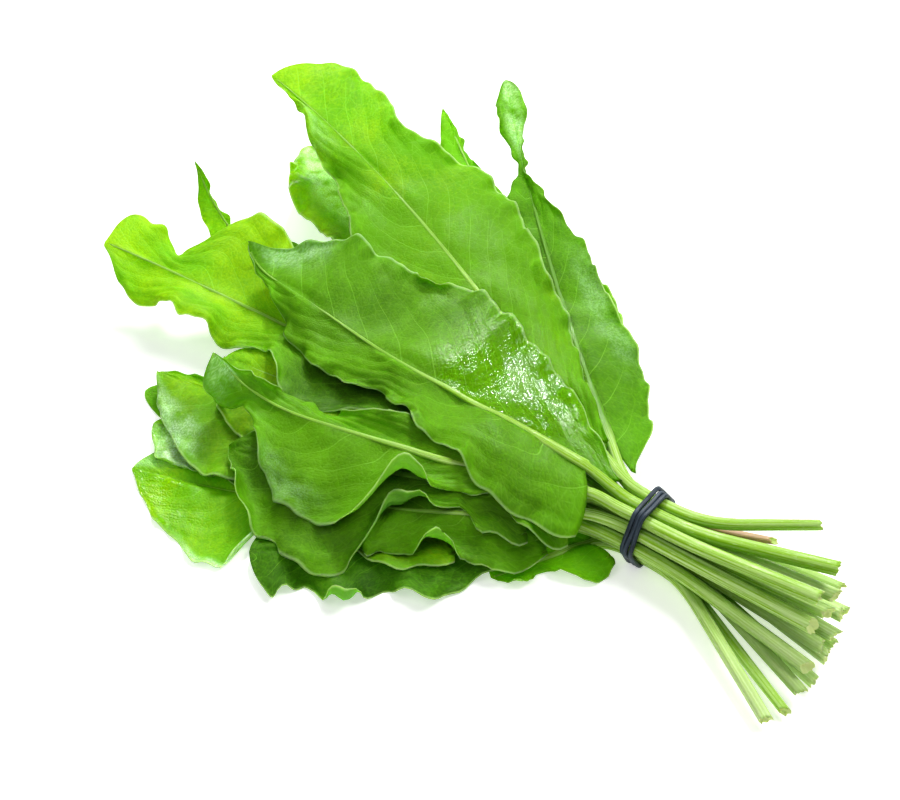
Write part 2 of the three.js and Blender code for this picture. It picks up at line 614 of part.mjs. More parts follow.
function bandSolid() {
  const stations = bandStations(STALK_RADIUS + BAND_GAP);
  const section = bandSection();
  const n = section.length;
  const points = stations.flatMap(({ at, out }) =>
    section.map(([x, r]) => new THREE.Vector3(x, at.x + out.x * r, at.y + out.y * r)),
  );
  const triangles = [];
  for (let s = 0; s < stations.length; s++)
    for (let k = 0; k < n; k++) {
      const a = s * n + k;
      const b = s * n + ((k + 1) % n);
      const c = ((s + 1) % stations.length) * n + ((k + 1) % n);
      const d = ((s + 1) % stations.length) * n + k;
      triangles.push(a, c, b, a, d, c);
    }
  return solid(points, triangles);
}

// --------------------------------------------------------------------- bunch

const bunch = new THREE.Group();
bunch.name = "sorrel_bunch";

LEAVES.map(layLeaf).forEach((one, k) => {
  const made = bladeSolid(one.grid).add(stalkSolid(one));
  const leafGreen = new THREE.MeshStandardMaterial({
    color: new THREE.Color(0.3, 0.55, 0.08),
    roughness: 0.4,
    metalness: 0,
  });
  const mesh = new THREE.Mesh(geometryOf(made), leafGreen);
  mesh.name = `leaf_${String(k + 1).padStart(2, "0")}`;
  bunch.add(mesh);
});

const darkRubber = new THREE.MeshStandardMaterial({
  color: new THREE.Color(0.05, 0.07, 0.1),
  roughness: 0.55,
  metalness: 0,
});
const band = new THREE.Mesh(geometryOf(bandSolid()), darkRubber);
band.name = "rubber_band";
bunch.add(band);

export default bunch;
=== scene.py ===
# %% [markdown]
# # A tied bunch of garden sorrel
#
# Nineteen cut leaves lie on each other, held by one wound rubber band. The rigid frame
# that this script loads already holds each leaf as a plain solid of the right size, in
# the right place. Here each one gets a fine body: the waved and puckered blade, the
# ribbed stalk, the ragged cut, and a finish that lets light through as fresh leaf does.

# %% The frame
import math

import bpy
import numpy as np
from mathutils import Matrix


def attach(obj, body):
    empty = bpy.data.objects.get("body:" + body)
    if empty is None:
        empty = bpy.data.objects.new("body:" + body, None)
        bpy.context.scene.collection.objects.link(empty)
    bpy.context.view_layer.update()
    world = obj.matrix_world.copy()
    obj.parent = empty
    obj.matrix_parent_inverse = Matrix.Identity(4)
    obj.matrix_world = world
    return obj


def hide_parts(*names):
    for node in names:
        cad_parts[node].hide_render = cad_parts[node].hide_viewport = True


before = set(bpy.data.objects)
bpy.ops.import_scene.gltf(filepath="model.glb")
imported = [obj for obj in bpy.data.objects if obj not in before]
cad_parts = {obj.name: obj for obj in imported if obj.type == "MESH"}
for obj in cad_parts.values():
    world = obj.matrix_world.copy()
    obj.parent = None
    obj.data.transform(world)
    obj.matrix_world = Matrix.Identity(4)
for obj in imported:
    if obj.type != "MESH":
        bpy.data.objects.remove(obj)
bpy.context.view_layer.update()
MM = 0.001

# %% [markdown]
# ## Camera
#
# The bunch is looked down on from its right and front, as it would lie on a table before
# someone who stands. A long lens from further away keeps the leaf tips and the cut ends
# at nearly the same scale, which a short lens close by would not.

# %% Camera
AZIMUTH, ELEVATION = math.radians(37), math.radians(44)
LENS_MM, SENSOR_MM, DISTANCE_MM = 90, 36, 625
NEAREST_M, FURTHEST_M = 0.01, 50
AIM_MM = np.array([-58.8, -13.35, 36.2])
towards_camera = np.array([
    math.sin(AZIMUTH) * math.cos(ELEVATION),
    -math.cos(AZIMUTH) * math.cos(ELEVATION),
    math.sin(ELEVATION),
])

camera_data = bpy.data.cameras.new("camera")
camera_data.lens = LENS_MM
camera_data.sensor_width = SENSOR_MM
camera_data.clip_start, camera_data.clip_end = NEAREST_M, FURTHEST_M
camera = bpy.data.objects.new("camera", camera_data)
camera.location = (AIM_MM + towards_camera * DISTANCE_MM) * MM
camera.rotation_euler = (math.pi / 2 - ELEVATION, 0, AZIMUTH)
bpy.context.scene.collection.objects.link(camera)
bpy.context.scene.camera = camera
print("camera at", [round(c, 3) for c in camera.location])

# %% [markdown]
# ## Floor and light
#
# A white sheet and four soft lamps. A wide one stands behind the bunch and above it, so
# that it shines through the thin blades towards the viewer and lays a pale shadow on
# the near side. Two smaller ones stand where the waxy leaves mirror them, and give them
# their gloss. The widest hangs in front, weak, and lifts the shaded faces. The white
# surroundings fill the rest. The sheet also glows a little by itself, so that it stays
# white where the lamps don't reach it. Lamps alone could do that, but they would have to
# be so bright that the leaves turned pale. The standard view, with more contrast than
# usual, keeps the greens as strong as they are on fresh leaves.

# %% Floor and light
def plain_object(name, data):
    """An object in the scene that holds data."""
    made = bpy.data.objects.new(name, data)
    bpy.context.scene.collection.objects.link(made)
    return made


FLOOR_HALF = 4.0  # in metres, as all of this cell
SHEET_WHITE, SHEET_ROUGHNESS, SHEET_GLOSS, SHEET_GLOW = 0.93, 0.9, 0.1, 0.39
SURROUNDINGS_GLOW = 0.165
MIDDLE_OF_BUNCH = (-0.06, 0.0, 0.02)
LAMPS = [  # name, place, side of the square, watts
    ("back_lamp", (0.45, 0.55, 1.20), 0.55, 8.7),
    ("gloss_lamp", (-0.50, 0.72, 0.80), 0.17, 9),
    ("side_gloss_lamp", (-0.78, 0.52, 0.88), 0.3, 2),
    ("top_lamp", (-0.25, -0.55, 1.00), 0.7, 2.5),
]

floor_mesh = bpy.data.meshes.new("floor")
floor_mesh.from_pydata(
    [(-FLOOR_HALF, -FLOOR_HALF, 0), (FLOOR_HALF, -FLOOR_HALF, 0),
     (FLOOR_HALF, FLOOR_HALF, 0), (-FLOOR_HALF, FLOOR_HALF, 0)], [], [(0, 1, 2, 3)])
floor = plain_object("floor", floor_mesh)
white_sheet = bpy.data.materials.new("white_sheet")
white_sheet.use_nodes = True
sheet_shader = white_sheet.node_tree.nodes["Principled BSDF"]
sheet_shader.inputs["Base Color"].default_value = (SHEET_WHITE, SHEET_WHITE, SHEET_WHITE, 1)
sheet_shader.inputs["Roughness"].default_value = SHEET_ROUGHNESS
sheet_shader.inputs["Specular IOR Level"].default_value = SHEET_GLOSS
sheet_shader.inputs["Emission Color"].default_value = (1, 1, 1, 1)
sheet_shader.inputs["Emission Strength"].default_value = SHEET_GLOW
white_sheet.cycles.emission_sampling = "NONE"
floor_mesh.materials.append(white_sheet)


def soft_lamp(name, place, size, watts):
    """A square lamp that faces the bunch."""
    data = bpy.data.lights.new(name, "AREA")
    data.shape = "SQUARE"
    data.size = size
    data.energy = watts
    lamp = plain_object(name, data)
    lamp.location = place
    away = np.array(place) - np.array(MIDDLE_OF_BUNCH)
    flat = math.hypot(away[0], away[1])
    lamp.rotation_euler = (math.atan2(flat, away[2]), 0, math.atan2(away[0], -away[1]))


for name, place, size, watts in LAMPS:
    soft_lamp(name, place, size, watts)

world = bpy.data.worlds.new("studio")
bpy.context.scene.world = world
world.use_nodes = True
world.node_tree.nodes["Background"].inputs["Color"].default_value = (1, 1, 1, 1)
world.node_tree.nodes["Background"].inputs["Strength"].default_value = SURROUNDINGS_GLOW
bpy.context.scene.view_settings.view_transform = "Standard"
bpy.context.scene.view_settings.look = "Medium High Contrast"

# %% [markdown]
# ## The tie
#
# In the band the stalks lie as close as pencils in a fist, in rows of 3, 4, 5, 4 and 3,
# each row in the dents of the one below. A leaf's place there is its row and its number
# in that row, and everything else about it starts from that point.

# %% Places in the tie
STALK_RADIUS = 1.92  # of a stalk in the tie, in millimetres, as every length here
STALK_PITCH = 4.15
ROW_SIZES = [3, 4, 5, 4, 3]
ROW_RISE = STALK_PITCH * math.sqrt(3) / 2
STRAND_THICKNESS, BAND_GAP = 1.1, 0.3
FIRST_ROW = STRAND_THICKNESS + BAND_GAP + STALK_RADIUS


def slot_centre(slot):
    """Where a stalk passes through the band: rows rise by ROW_RISE, places step by STALK_PITCH along Y."""
    row, place = slot
    return np.array([0.0, (place - (ROW_SIZES[row] - 1) / 2) * STALK_PITCH, FIRST_ROW + row * ROW_RISE])


print("stalks in the tie:", sum(ROW_SIZES))

# %% [markdown]
# ## The leaves
#
# Each leaf is a row of numbers: which way it heads, how it climbs, rolls, sweeps and
# droops, how long and wide it is, and how its edge waves. They are the numbers from
# which the rigid solids were made, so the fine leaves grow in the same places. Two of
# them differ: the first share of the far margin of leaf 16, and the neck of leaf 19,
# whose tip ends in a finer hook than its solid.
#
# What concerns only the looks is added here. `tone` runs from -1, an old dark leaf, to 1,
# a young yellow-green one; on some leaves it is also painted shade, where they lie in the
# shade of others, and painted light, where light shines through them. `tip_tone` is added
# to it towards the tip, partly as painted light shining through the tip, and up to `shade`
# of its length a blade is painted as dark as an old one, as painted shade where other
# leaves lie over it. `blush` makes a stalk pinkish. `heel` draws the base out, `turns` roll
# the margin over and `tip_roll` rolls the tip. `shine` is where the skin is waxiest, and the
# spots of painted sheen are painted silvery highlights.

# %% The table of leaves
# Lengths are in millimetres, angles in degrees, and places on a blade are shares: u of
# its length from base to tip, and v of its half width, below 0 on the -Y half.
#   slot        row and place in the tie         stalk, blade, width   lengths and width
#   way, rise   heading and climb                sweep, droop, curl    how these change
#   roll, twist turn about the midrib            cup, bow, fold, hang  bend of the halves
#   wave, waves, phase, skew, lobed              the waves of the margin
#   lean        how much wider the -Y half is    swell, point          powers of the outline
#   neck        place and depth of a waist       near, far             shares of the half widths
#   tail        length, way and rise behind the band; cut is how much thicker its end is
#   turns       is it the -Y half, place, reach, share of v where the roll starts, angle
#   tip_roll    length that rolls, angle of its line aside from the midrib, angle of the roll
#   shine       is it the -Y half, place, reach
#   sheen       painted silvery highlights: place and reach along, place and reach across, strength
USUAL = dict(
    twist=0, sweep=0, droop=0, curl=0, cup=0, bow=10, fold=0, hang=0, waves=2.5, skew=140,
    lobed=0.06, lean=0, swell=0.45, point=0.6, neck=(0.5, 0), near=(), far=(), cut=0.1,
    tone=0, tip_tone=0, shade=0, blush=0, heel=0, turns=(), tip_roll=(), shine=(), bloom=(),
)
LEAVES = [
    dict(slot=(0, 0), way=-62, rise=-2, stalk=15, blade=30, width=28, roll=4, wave=1.5, phase=0,
         bow=20, cup=4, cut=-0.25,
         near=(1.15, 1.21, 1.07, 0.92, 0.72, 0.48, 0.32, 0.29, 0.42, 0.56, 0.5, 0.34, 0.25),
         tail=(66, -26, 0), tone=0.5),
    dict(slot=(0, 1), way=-43, rise=0, stalk=52, blade=61, width=46, roll=2, wave=4, phase=30, sweep=4,
         lobed=0.1, waves=3, cut=0.05,
         near=(0.95, 0.78, 0.82, 1, 0.86, 0.68, 0.74, 1.11, 1.09, 0.65, 0.8, 1.52, 1.49),
         tail=(64, -16, 0), tone=-1, turns=((True, 0.6, 0.1, 0.7, 110),)),
    dict(slot=(1, 0), way=-26, rise=-4, stalk=62, blade=88, width=60, roll=4, wave=2, phase=100,
         sweep=10, cup=2, cut=0,
         near=(1.11, 0.95, 0.78, 0.61, 0.48, 0.44, 0.59, 1.02, 1.16, 1.04, 0.94, 0.74, 0.37),
         tail=(66, -31, -3), tone=0.8, turns=((True, 0.45, 0.12, 0.75, 140),), shine=(True, 0.95, 0.2),
         bloom=((0.95, 0.1, 0.6, 0.4, 0.5), (0.6, 0.12, -1, 0.1, 1))),
    dict(slot=(0, 2), way=46, rise=-2, stalk=48, blade=94, width=32, roll=0, wave=2, phase=200, cut=0,
         tail=(60, -5, 0)),
    dict(slot=(1, 1), way=-13, rise=-3, stalk=66, blade=95, width=36, roll=2, wave=1.5, phase=40,
         cut=0, tail=(65, -21, -2)),
    dict(slot=(2, 0), way=-18, rise=-3, stalk=58, blade=91, width=46, roll=8, wave=2, phase=80,
         sweep=8, hang=8,
         near=(1.03, 1.02, 1.01, 0.98, 0.93, 0.85, 0.76, 0.67, 0.64, 0.74, 1.17, 1.21, 1.02),
         far=(1.04, 1.06, 1.07, 1.06, 1, 0.88, 0.67, 0.39, 0.25, 0.25, 0.25, 0.41, 0.77),
         tail=(61, -9, -1), tone=0.5, turns=((True, 0.85, 0.12, 0.4, 100),), shine=(True, 0.85, 0.2),
         bloom=((0.85, 0.15, -0.5, 0.6, 0.8),)),
    dict(slot=(2, 1), way=-12, rise=-2, stalk=60, blade=98, width=48, roll=7, wave=2, phase=10,
         sweep=6, hang=4,
         near=(0.99, 0.98, 0.97, 0.98, 1, 1.05, 1.13, 1.24, 1.35, 1.43, 1.4, 1.18, 0.75),
         far=(1.01, 1.03, 1.05, 1.05, 1.03, 0.96, 0.84, 0.67, 0.46, 0.28, 0.25, 0.36, 0.25),
         tail=(60, -4, -1), tone=0.6, bloom=((0.85, 0.13, -0.8, 0.3, 0.7),)),
    dict(slot=(2, 4), way=35, rise=1, stalk=52, blade=132, width=30, roll=-2, wave=2, phase=150,
         droop=-8, point=0.8, cut=0,
         far=(1.02, 1.03, 1.04, 1.04, 1.01, 0.95, 0.86, 0.72, 0.55, 0.36, 0.26, 0.25, 0.25),
         tail=(55, 2, 5), tone=0.4),
    dict(slot=(1, 3), way=7, rise=0, stalk=66, blade=137, width=20, roll=-2, wave=1, phase=220,
         curl=-62, twist=20, point=0.9, cut=-0.1,
         near=(1, 0.98, 0.97, 0.96, 0.95, 0.96, 1, 1.08, 1.21, 1.38, 1.59, 1.82, 0.25),
         far=(1.05, 1.07, 1.08, 1.06, 0.99, 0.84, 0.6, 0.29, 0.25, 0.25, 0.25, 0.5, 1.79),
         tail=(58, 4, 0), tone=0.6),
    dict(slot=(1, 2), way=12, rise=0, stalk=62, blade=107, width=40, roll=-2, wave=1.5, phase=260,
         tail=(62, -10, -2)),
    dict(slot=(2, 2), way=-8, rise=0, stalk=58, blade=83, width=44, roll=6, wave=2, phase=330,
         near=(0.98, 0.97, 0.97, 0.97, 1, 1.04, 1.11, 1.21, 1.33, 1.46, 1.66, 1.77, 1.45),
         tail=(61, -2, -1), tone=0.8),
    dict(slot=(3, 0), way=-33, rise=-5, stalk=36, blade=46, width=48, roll=14, wave=4, phase=120,
         sweep=14, hang=8, lean=0.2, lobed=0.1, bow=14, waves=3, cup=-4, cut=0.22,
         near=(0.73, 0.7, 0.69, 0.66, 0.53, 0.4, 0.42, 0.63, 0.6, 0.66, 0.94, 1.17, 1.36),
         tail=(57, -3, 4), tone=-0.2, turns=((True, 0.45, 0.08, 0.5, 140),)),
    dict(slot=(3, 1), way=-27, rise=-4, stalk=46, blade=78, width=62, roll=14, wave=4, phase=20,
         sweep=20, hang=16, lean=0.42, lobed=0.1, bow=14, waves=3, cup=-4,
         near=(0.8, 0.54, 0.26, 0.25, 0.52, 0.85, 0.91, 0.94, 1.06, 1.02, 0.81, 0.66, 0.44),
         tail=(58, 0, 4), tone=-0.35,
         turns=((True, 0.33, 0.08, 0.4, 165), (True, 0.9, 0.08, 0.3, 100),)),
    dict(slot=(2, 3), way=-1, rise=0, stalk=66, blade=131, width=48, roll=6, wave=5, phase=321,
         sweep=-14, droop=-10, twist=10, lean=-0.2, lobed=0.28, waves=3.3, skew=350, point=0.3,
         near=(1.22, 1.33, 1.41, 1.39, 1.21, 1.05, 0.93, 0.78, 0.54, 0.82, 0.93, 0.67, 0.25),
         far=(1.07, 1.02, 0.96, 0.89, 0.81, 0.72, 0.66, 0.69, 0.88, 1.26, 0.35, 0.59, 0.99),
         tail=(59, 0, 1), tone=0.95, shade=0.3),
    dict(slot=(3, 2), way=23, rise=-2, stalk=64, blade=138, width=50, roll=-2, wave=2, phase=190,
         droop=-14, curl=30, point=0.5,
         near=(1.03, 1.01, 0.99, 0.96, 0.93, 0.89, 0.85, 0.84, 0.88, 0.97, 0.97, 0.89, 0.62),
         far=(1, 1.01, 1.02, 1.03, 1.04, 1.04, 1.01, 0.92, 0.76, 0.54, 0.31, 0.25, 0.25),
         tail=(57, 2, 5), tone=0.9, shine=(True, 0.9, 0.2),
         bloom=((0.82, 0.2, -0.32, 0.3, 1.2),)),
    dict(slot=(3, 3), way=41, rise=1, stalk=30, blade=151, width=29, roll=0, wave=2, phase=90, sweep=4,
         droop=-13, twist=10, fold=30, waves=2.8, point=0.7, cut=-0.45, neck=(0.77, 0.85),
         far=(0.5, 1.26, 1.31, 1.19, 1.01, 0.97, 0.98, 0.68, 0.38, 0.26, 0.54, 1.09, 1.69),
         tail=(34, 13, 11), tone=-0.45, blush=1, heel=8,
         bloom=((0.93, 0.13, 0.1, 0.7, 0.8), (0.35, 0.15, 0.7, 0.25, 0.25))),
    dict(slot=(4, 0), way=-20, rise=-5, stalk=32, blade=108, width=58, roll=16, wave=5, phase=310,
         sweep=35, droop=-14, hang=18, lean=0.65, lobed=0.1, bow=12, waves=2.8, swell=0.6, point=1,
         cup=-6, cut=0.12,
         near=(0.8, 0.54, 0.25, 0.25, 0.31, 0.86, 1, 0.86, 0.68, 0.47, 0.29, 0.97, 2.57),
         tail=(56, 0, 8), tone=0.05, shine=(True, 1, 0.15),
         turns=((True, 0.34, 0.07, 0.4, 165),), tip_roll=(14, 10, 80),
         bloom=((0.95, 0.05, -0.1, 0.6, 0.9), (0.6, 0.1, -0.85, 0.2, 0.25))),
    dict(slot=(4, 2), way=26, rise=1, stalk=38, blade=166, width=50, roll=2, wave=3, phase=70,
         sweep=-25, droop=-16, twist=6, lean=-0.15, waves=2.8, point=0.5, cup=2, cut=-0.2,
         near=(0.97, 1.01, 1.05, 1.1, 1.15, 1.18, 1.18, 1.1, 0.9, 0.65, 0.55, 0.25, 0.25),
         far=(0.32, 0.45, 0.59, 0.69, 0.73, 0.92, 1.09, 1.05, 0.82, 0.74, 1.17, 1.47, 1.53),
         tail=(48, 17, 20), tone=0.35, tip_tone=0.55, bloom=((0.86, 0.06, -0.5, 0.3, 0.35),)),
    dict(slot=(4, 1), way=2, rise=-2, stalk=22, blade=134, width=52, roll=8, wave=2, phase=0, sweep=5,
         droop=-14, curl=16, hang=6, lean=0.05, waves=3, swell=0.55, point=0.55, cup=-4, cut=0.15,
         near=(1.79, 1.47, 1.11, 0.8, 0.84, 0.58, 0.4, 0.55, 0.67, 0.6, 0.37, 0.25, 0.25),
         far=(0.25, 0.73, 1.13, 1.2, 1.24, 1.44, 1.62, 1.44, 1.23, 1.32, 1.72, 2.06, 1.99),
         tail=(56, 9, 10), tone=-0.12, shine=(False, 0.27, 0.19), neck=(0.95, 0.42),
         turns=((False, 0.62, 0.05, 0.8, 120),), tip_roll=(12, -36, 80),
         bloom=((0.92, 0.08, 0.65, 0.35, 0.4),)),
]
LEAVES = [{**USUAL, **leaf, "name": f"leaf_{k + 1:02d}"} for k, leaf in enumerate(LEAVES)]
print("leaves:", len(LEAVES), "longest blade", max(leaf["blade"] for leaf in LEAVES), "mm")

# %% [markdown]
# ## The line of a leaf
#
# A stalk leaves the band straight and turns to its own way within 22 mm. From there the
# midrib may sweep sideways, droop and curl. Such a line is easiest to walk: at every
# millimetre the heading and the climb are known, and the steps are added up. The
# direction, the side and the up vector at a point are what the blade is later hung on.

# %% Walking a leaf's line
HEAD_TURN_RUN = 22
CURL_START, CURL_RUN = 0.62, 0.38  # of the blade's length


def smooth(x):
    """0 below 0, 1 above 1, and an S-curve between: 3x^2 - 2x^3."""
    x = np.clip(x, 0, 1)
    return x * x * (3 - 2 * x)


def frame_at(way, rise, roll):
    """Unit vectors along, side and up of a line that heads way from -X towards +Y and climbs at rise."""
    h, p, r = np.radians(way), np.radians(rise), np.radians(roll)
    along = np.stack([-np.cos(p) * np.cos(h), np.cos(p) * np.sin(h), np.sin(p)], -1)
    level = np.stack([np.sin(h), np.cos(h), 0 * h], -1)
    up = np.cross(level, along)
    side = level * np.cos(r)[..., None] + up * np.sin(r)[..., None]
    return along, side, np.cross(side, along)


def angles_at(leaf, s):
    """Way, rise and roll at s mm from the band: an S-curve out of the tie, then sweep with the square of
    the share u of the blade, droop with u, and curl over its last CURL_RUN."""
    turn = smooth(s / HEAD_TURN_RUN)
    u = np.clip((s - leaf["stalk"]) / leaf["blade"], 0, 1)
    return (
        leaf["way"] * turn + leaf["sweep"] * u * u,
        leaf["rise"] * turn - leaf["droop"] * u - leaf["curl"] * smooth((u - CURL_START) / CURL_RUN),
        leaf["roll"] * smooth(s / leaf["stalk"]) + leaf["twist"] * u,
    )


def walk(leaf):
    """The leaf's centreline from the band to its tip, a point every millimetre."""
    steps = np.arange(math.ceil(leaf["stalk"] + leaf["blade"])) + 0.5
    along = frame_at(*angles_at(leaf, steps)[:2], 0 * steps)[0]
    start = slot_centre(leaf["slot"])
    return np.concatenate([start[None], start + np.cumsum(along, 0)])


def on_line(leaf, line, s):
    """Point and unit vectors of the leaf's line at s mm from the band."""
    s = np.asarray(s, float)
    low = np.clip(np.floor(s).astype(int), 0, len(line) - 2)
    point = line[low] + (line[low + 1] - line[low]) * (s - low)[..., None]
    return (point,) + frame_at(*angles_at(leaf, s))


print("line of", LEAVES[-1]["name"], "ends at", walk(LEAVES[-1])[-1].round(1))

# %% [markdown]
# ## The blade
#
# A sorrel blade is a long arrow-head: broad near its base, where two lobes point back
# past the stalk, and drawn out to the tip. One formula gives its half width, others
# bend each half, wave the edge and push the lobes back. Because it is a function of two
# numbers, u along the blade and v across it, the same code serves the coarse blade that
# settles on the pile and the fine one that is seen.

# %% The surface of a blade
LOBE_SHARE = 0.21  # how far the lobes reach back past the blade's base, of its width
LOBE_POWER = 5
BASE_START, NECK_REACH = 0.06, 0.09
CALM_BASE, CALM_TIP = 0.15, 0.2  # where the waves of the margin rise and die away
LEAST_BEND = 1e-4  # in radians, so that a straight edge isn't divided by nothing


def half_width(leaf, u, least=1.0):
    """(u + BASE_START)^swell (1 - u)^point, scaled so that its greatest value is half the leaf's width; the
    neck takes a bell-shaped bite out of it. It is nowhere less than `least`."""
    swell, point = leaf["swell"], leaf["point"]

    def shape(x):
        return (x + BASE_START) ** swell * np.maximum(1 - x, 0) ** point

    widest = (swell - BASE_START * point) / (swell + point)
    place, depth = leaf["neck"]
    neck = 1 - depth * np.exp(-(((u - place) / NECK_REACH) ** 2))
    return np.maximum(least, leaf["width"] / 2 * shape(u) / shape(widest) * neck)


def margin_share(shares, u):
    """The share of an even half width at u, smoothly from one number of the list to the next."""
    if not shares:
        return 1 + 0 * u
    shares = np.array(shares)
    at = np.clip(u, 0, 1) * (len(shares) - 1)
    low = np.clip(np.floor(at).astype(int), 0, len(shares) - 2)
    return shares[low] + (shares[low + 1] - shares[low]) * smooth(at - low)


def turned_margin(leaf, u, v, half, out, lift):
    """The edge rolled over in places: beyond `start` it bends round a circle, by `angle` at the margin where
    it rolls most, and by less along the blade, as a bell. Gives the new way out and lift."""
    edge = np.abs(v)
    for below, place, reach, start, angle in leaf["turns"]:
        amount = np.radians(angle) * np.exp(-(((u - place) / reach) ** 2)) * ((v < 0) == below)
        beyond = np.maximum(edge - start, 0) * half
        bent = amount * beyond / np.maximum((1 - start) * half, 1e-6)
        bent = np.where(np.abs(bent) < LEAST_BEND, LEAST_BEND, bent)
        out = out + beyond * (np.sin(bent) / bent - 1)
        lift = lift + beyond * (1 - np.cos(bent)) / bent
    return out, lift


def blade_surface(leaf, u, v, least=1.0):
    """The blade's middle surface. Out from the midrib it runs half_width times |v|, at an angle that cups it
    up, bows it back down and lets the -Y half hang; the edge waves with |v|^2 and rolls over where it turns;
    and the lobes and the heel are pushed back with (1 - u)^LOBE_POWER."""
    point, along, side, up = on_line(leaf, walk(leaf), leaf["stalk"] + u * leaf["blade"])
    edge, low = np.abs(v), v < 0
    calm = smooth(u / CALM_BASE) * smooth((1 - u) / CALM_TIP)
    ripple = np.radians(360 * leaf["waves"] * u + leaf["phase"] + np.where(low, leaf["skew"], 0))
    half = half_width(leaf, u, least) * (1 + leaf["lobed"] * calm * np.cos(ripple))
    half = half * np.where(low, 1 + leaf["lean"], 1 - leaf["lean"])
    half = half * np.where(low, margin_share(leaf["near"], u), margin_share(leaf["far"], u))
    bend = np.radians(
        leaf["cup"] + leaf["fold"] * u**2 - np.where(low, leaf["hang"], 0) - leaf["bow"] * edge / 2)
    out = half * edge * np.cos(bend)
    lift = half * edge * np.sin(bend) + leaf["wave"] * calm * edge**2 * np.sin(ripple)
    out, lift = turned_margin(leaf, u, v, half, out, lift)
    back = (LOBE_SHARE * leaf["width"] + leaf["heel"]) * np.sin(edge * np.pi / 2) * (1 - u) ** LOBE_POWER
    return (point + side * (np.sign(v) * out)[..., None] + up * lift[..., None] - along * back[..., None])


print("half widths of", LEAVES[-1]["name"], half_width(LEAVES[-1], np.linspace(0, 1, 6)).round(1))

# %% [markdown]
# ## Laying the leaves on each other
#
# Leaves that were placed by hand would cut through each other. A simulation of nineteen
# sheets of cloth would fall into heaps that nobody planned. So each leaf is laid as a
# patient cook would do it, from the bottom up: a map of heights remembers the top of
# the pile, and a new leaf is lifted off it wherever it would sink in. Its skin carries
# each lift over to its neighbours, as a stiff blade does, and its stalk is a string
# held down in the tie.

# %% The map of heights
LEAF_GAP, CORE_THICKNESS = 0.4, 0.6
PILE_CORNER, PILE_LONG, PILE_WIDE = np.array([-235.0, -165.0]), 300, 330


class Pile:
    """Heights of the top of the pile on a square grid, from a corner that lies clear of every leaf."""

    def __init__(self, cell, bottom):
        self.cell = cell
        self.height = np.full((int(PILE_LONG / cell), int(PILE_WIDE / cell)), bottom)

    def cells(self, points):
        """The two numbers of the cell under each point."""
        at = ((points[..., :2] - PILE_CORNER) / self.cell).astype(int)
        return (np.clip(at[..., 0], 1, self.height.shape[0] - 2),
                np.clip(at[..., 1], 1, self.height.shape[1] - 2))

    def under(self, points):
        """The height of the pile under each point."""
        return self.height[self.cells(points)]

    def put(self, points, tops, spread=1):
        """Raises the pile to tops under each point, and in the cells up to spread away."""
        i, j = self.cells(points)
        for di in range(-spread, spread + 1):
            for dj in range(-spread, spread + 1):
                np.maximum.at(self.height, (i + di, j + dj), tops)


core_pile = Pile(cell=0.7, bottom=-LEAF_GAP)
print("map of heights:", core_pile.height.shape, "cells of", core_pile.cell, "mm")

# %% Sampling a coarse blade and its stalk
CORE_ROWS = (np.arange(17) / 16) ** 1.1
CORE_COLUMNS = np.array([-1, -0.64, -0.3, 0, 0.3, 0.64, 1])
MIDDLE = 3
RIB_RADIUS, RIB_RUN, RIB_END, THINNING_RUN = 1.15, 0.2, 0.26, 30
LINK_PLACES = 12
PLACES = np.arange(11) / 10
along_quad, across_quad = np.meshgrid(PLACES, PLACES, indexing="ij")
SHARES = np.stack([  # of the corners 00, 10, 01 and 11 of a quad that is split from 00 to 11
    1 - np.maximum(along_quad, across_quad), np.maximum(along_quad - across_quad, 0),
    np.maximum(across_quad - along_quad, 0), np.minimum(along_quad, across_quad),
])
CORNERS = [(0, 0), (1, 0), (0, 1), (1, 1)]


def stalk_radius(s):
    """From STALK_RADIUS in the tie to RIB_RADIUS at THINNING_RUN mm on."""
    return STALK_RADIUS - (STALK_RADIUS - RIB_RADIUS) * smooth(s / THINNING_RUN)


def within_quads(grid):
    """Values of a grid at 11 by 11 places in each of its quads."""
    total = 0
    for (i, j), share in zip(CORNERS, SHARES):
        corner = grid[i:len(grid) - 1 + i, j:grid.shape[1] - 1 + j][:, :, None, None]
        total = total + corner * (share[..., None] if grid.ndim == 3 else share)
    return total


def within_links(values):
    """Values at LINK_PLACES places in each link of a chain."""
    t = np.arange(LINK_PLACES) / LINK_PLACES
    t = t[:, None] if values.ndim == 2 else t
    return values[:-1, None] * (1 - t) + values[1:, None] * t


def to_corners(strain, shape, weighted=True):
    """The greatest value that each grid point gets from its quads."""
    pushed = np.zeros(shape)
    for (i, j), share in zip(CORNERS, SHARES):
        most = (strain * share if weighted else strain).max((2, 3))
        view = pushed[i:i + most.shape[0], j:j + most.shape[1]]
        np.maximum(view, most, out=view)
    return pushed


def to_ends(strain, tied, weighted=True):
    """The greatest value that each point of a chain gets from its links; the first `tied` points get none."""
    t = np.arange(LINK_PLACES) / LINK_PLACES
    pushed = np.zeros(len(strain) + 1)
    pushed[:-1] = (strain * (1 - t if weighted else 1)).max(1)
    pushed[1:] = np.maximum(pushed[1:], (strain * (t if weighted else 1)).max(1))
    pushed[:tied] = 0
    return pushed


print("a coarse blade has", len(CORE_ROWS), "by", len(CORE_COLUMNS), "points")

# %% Laying a leaf's core
STALK_STEP, TIED_RUN, FREE_RUN, PUT_RUN, TIED_POINTS = 6, 8, 13, 7, 2
CORE_PASSES, CORE_STIFFNESS = 60, 0.9
STALK_PASSES, STALK_STIFFNESS = 6, 0.5
NEED_SHARES = (-0.9, -0.45, 0, 0.45, 0.9)  # of the radius, where the stalk is held off the pile
PUT_SHARES = (-0.9, -0.6, -0.3, 0, 0.3, 0.6, 0.9)
RIB_TOP_SHARE = 0.7  # of the midrib's radius that stands out above the blade
NO_NEED = -99.0


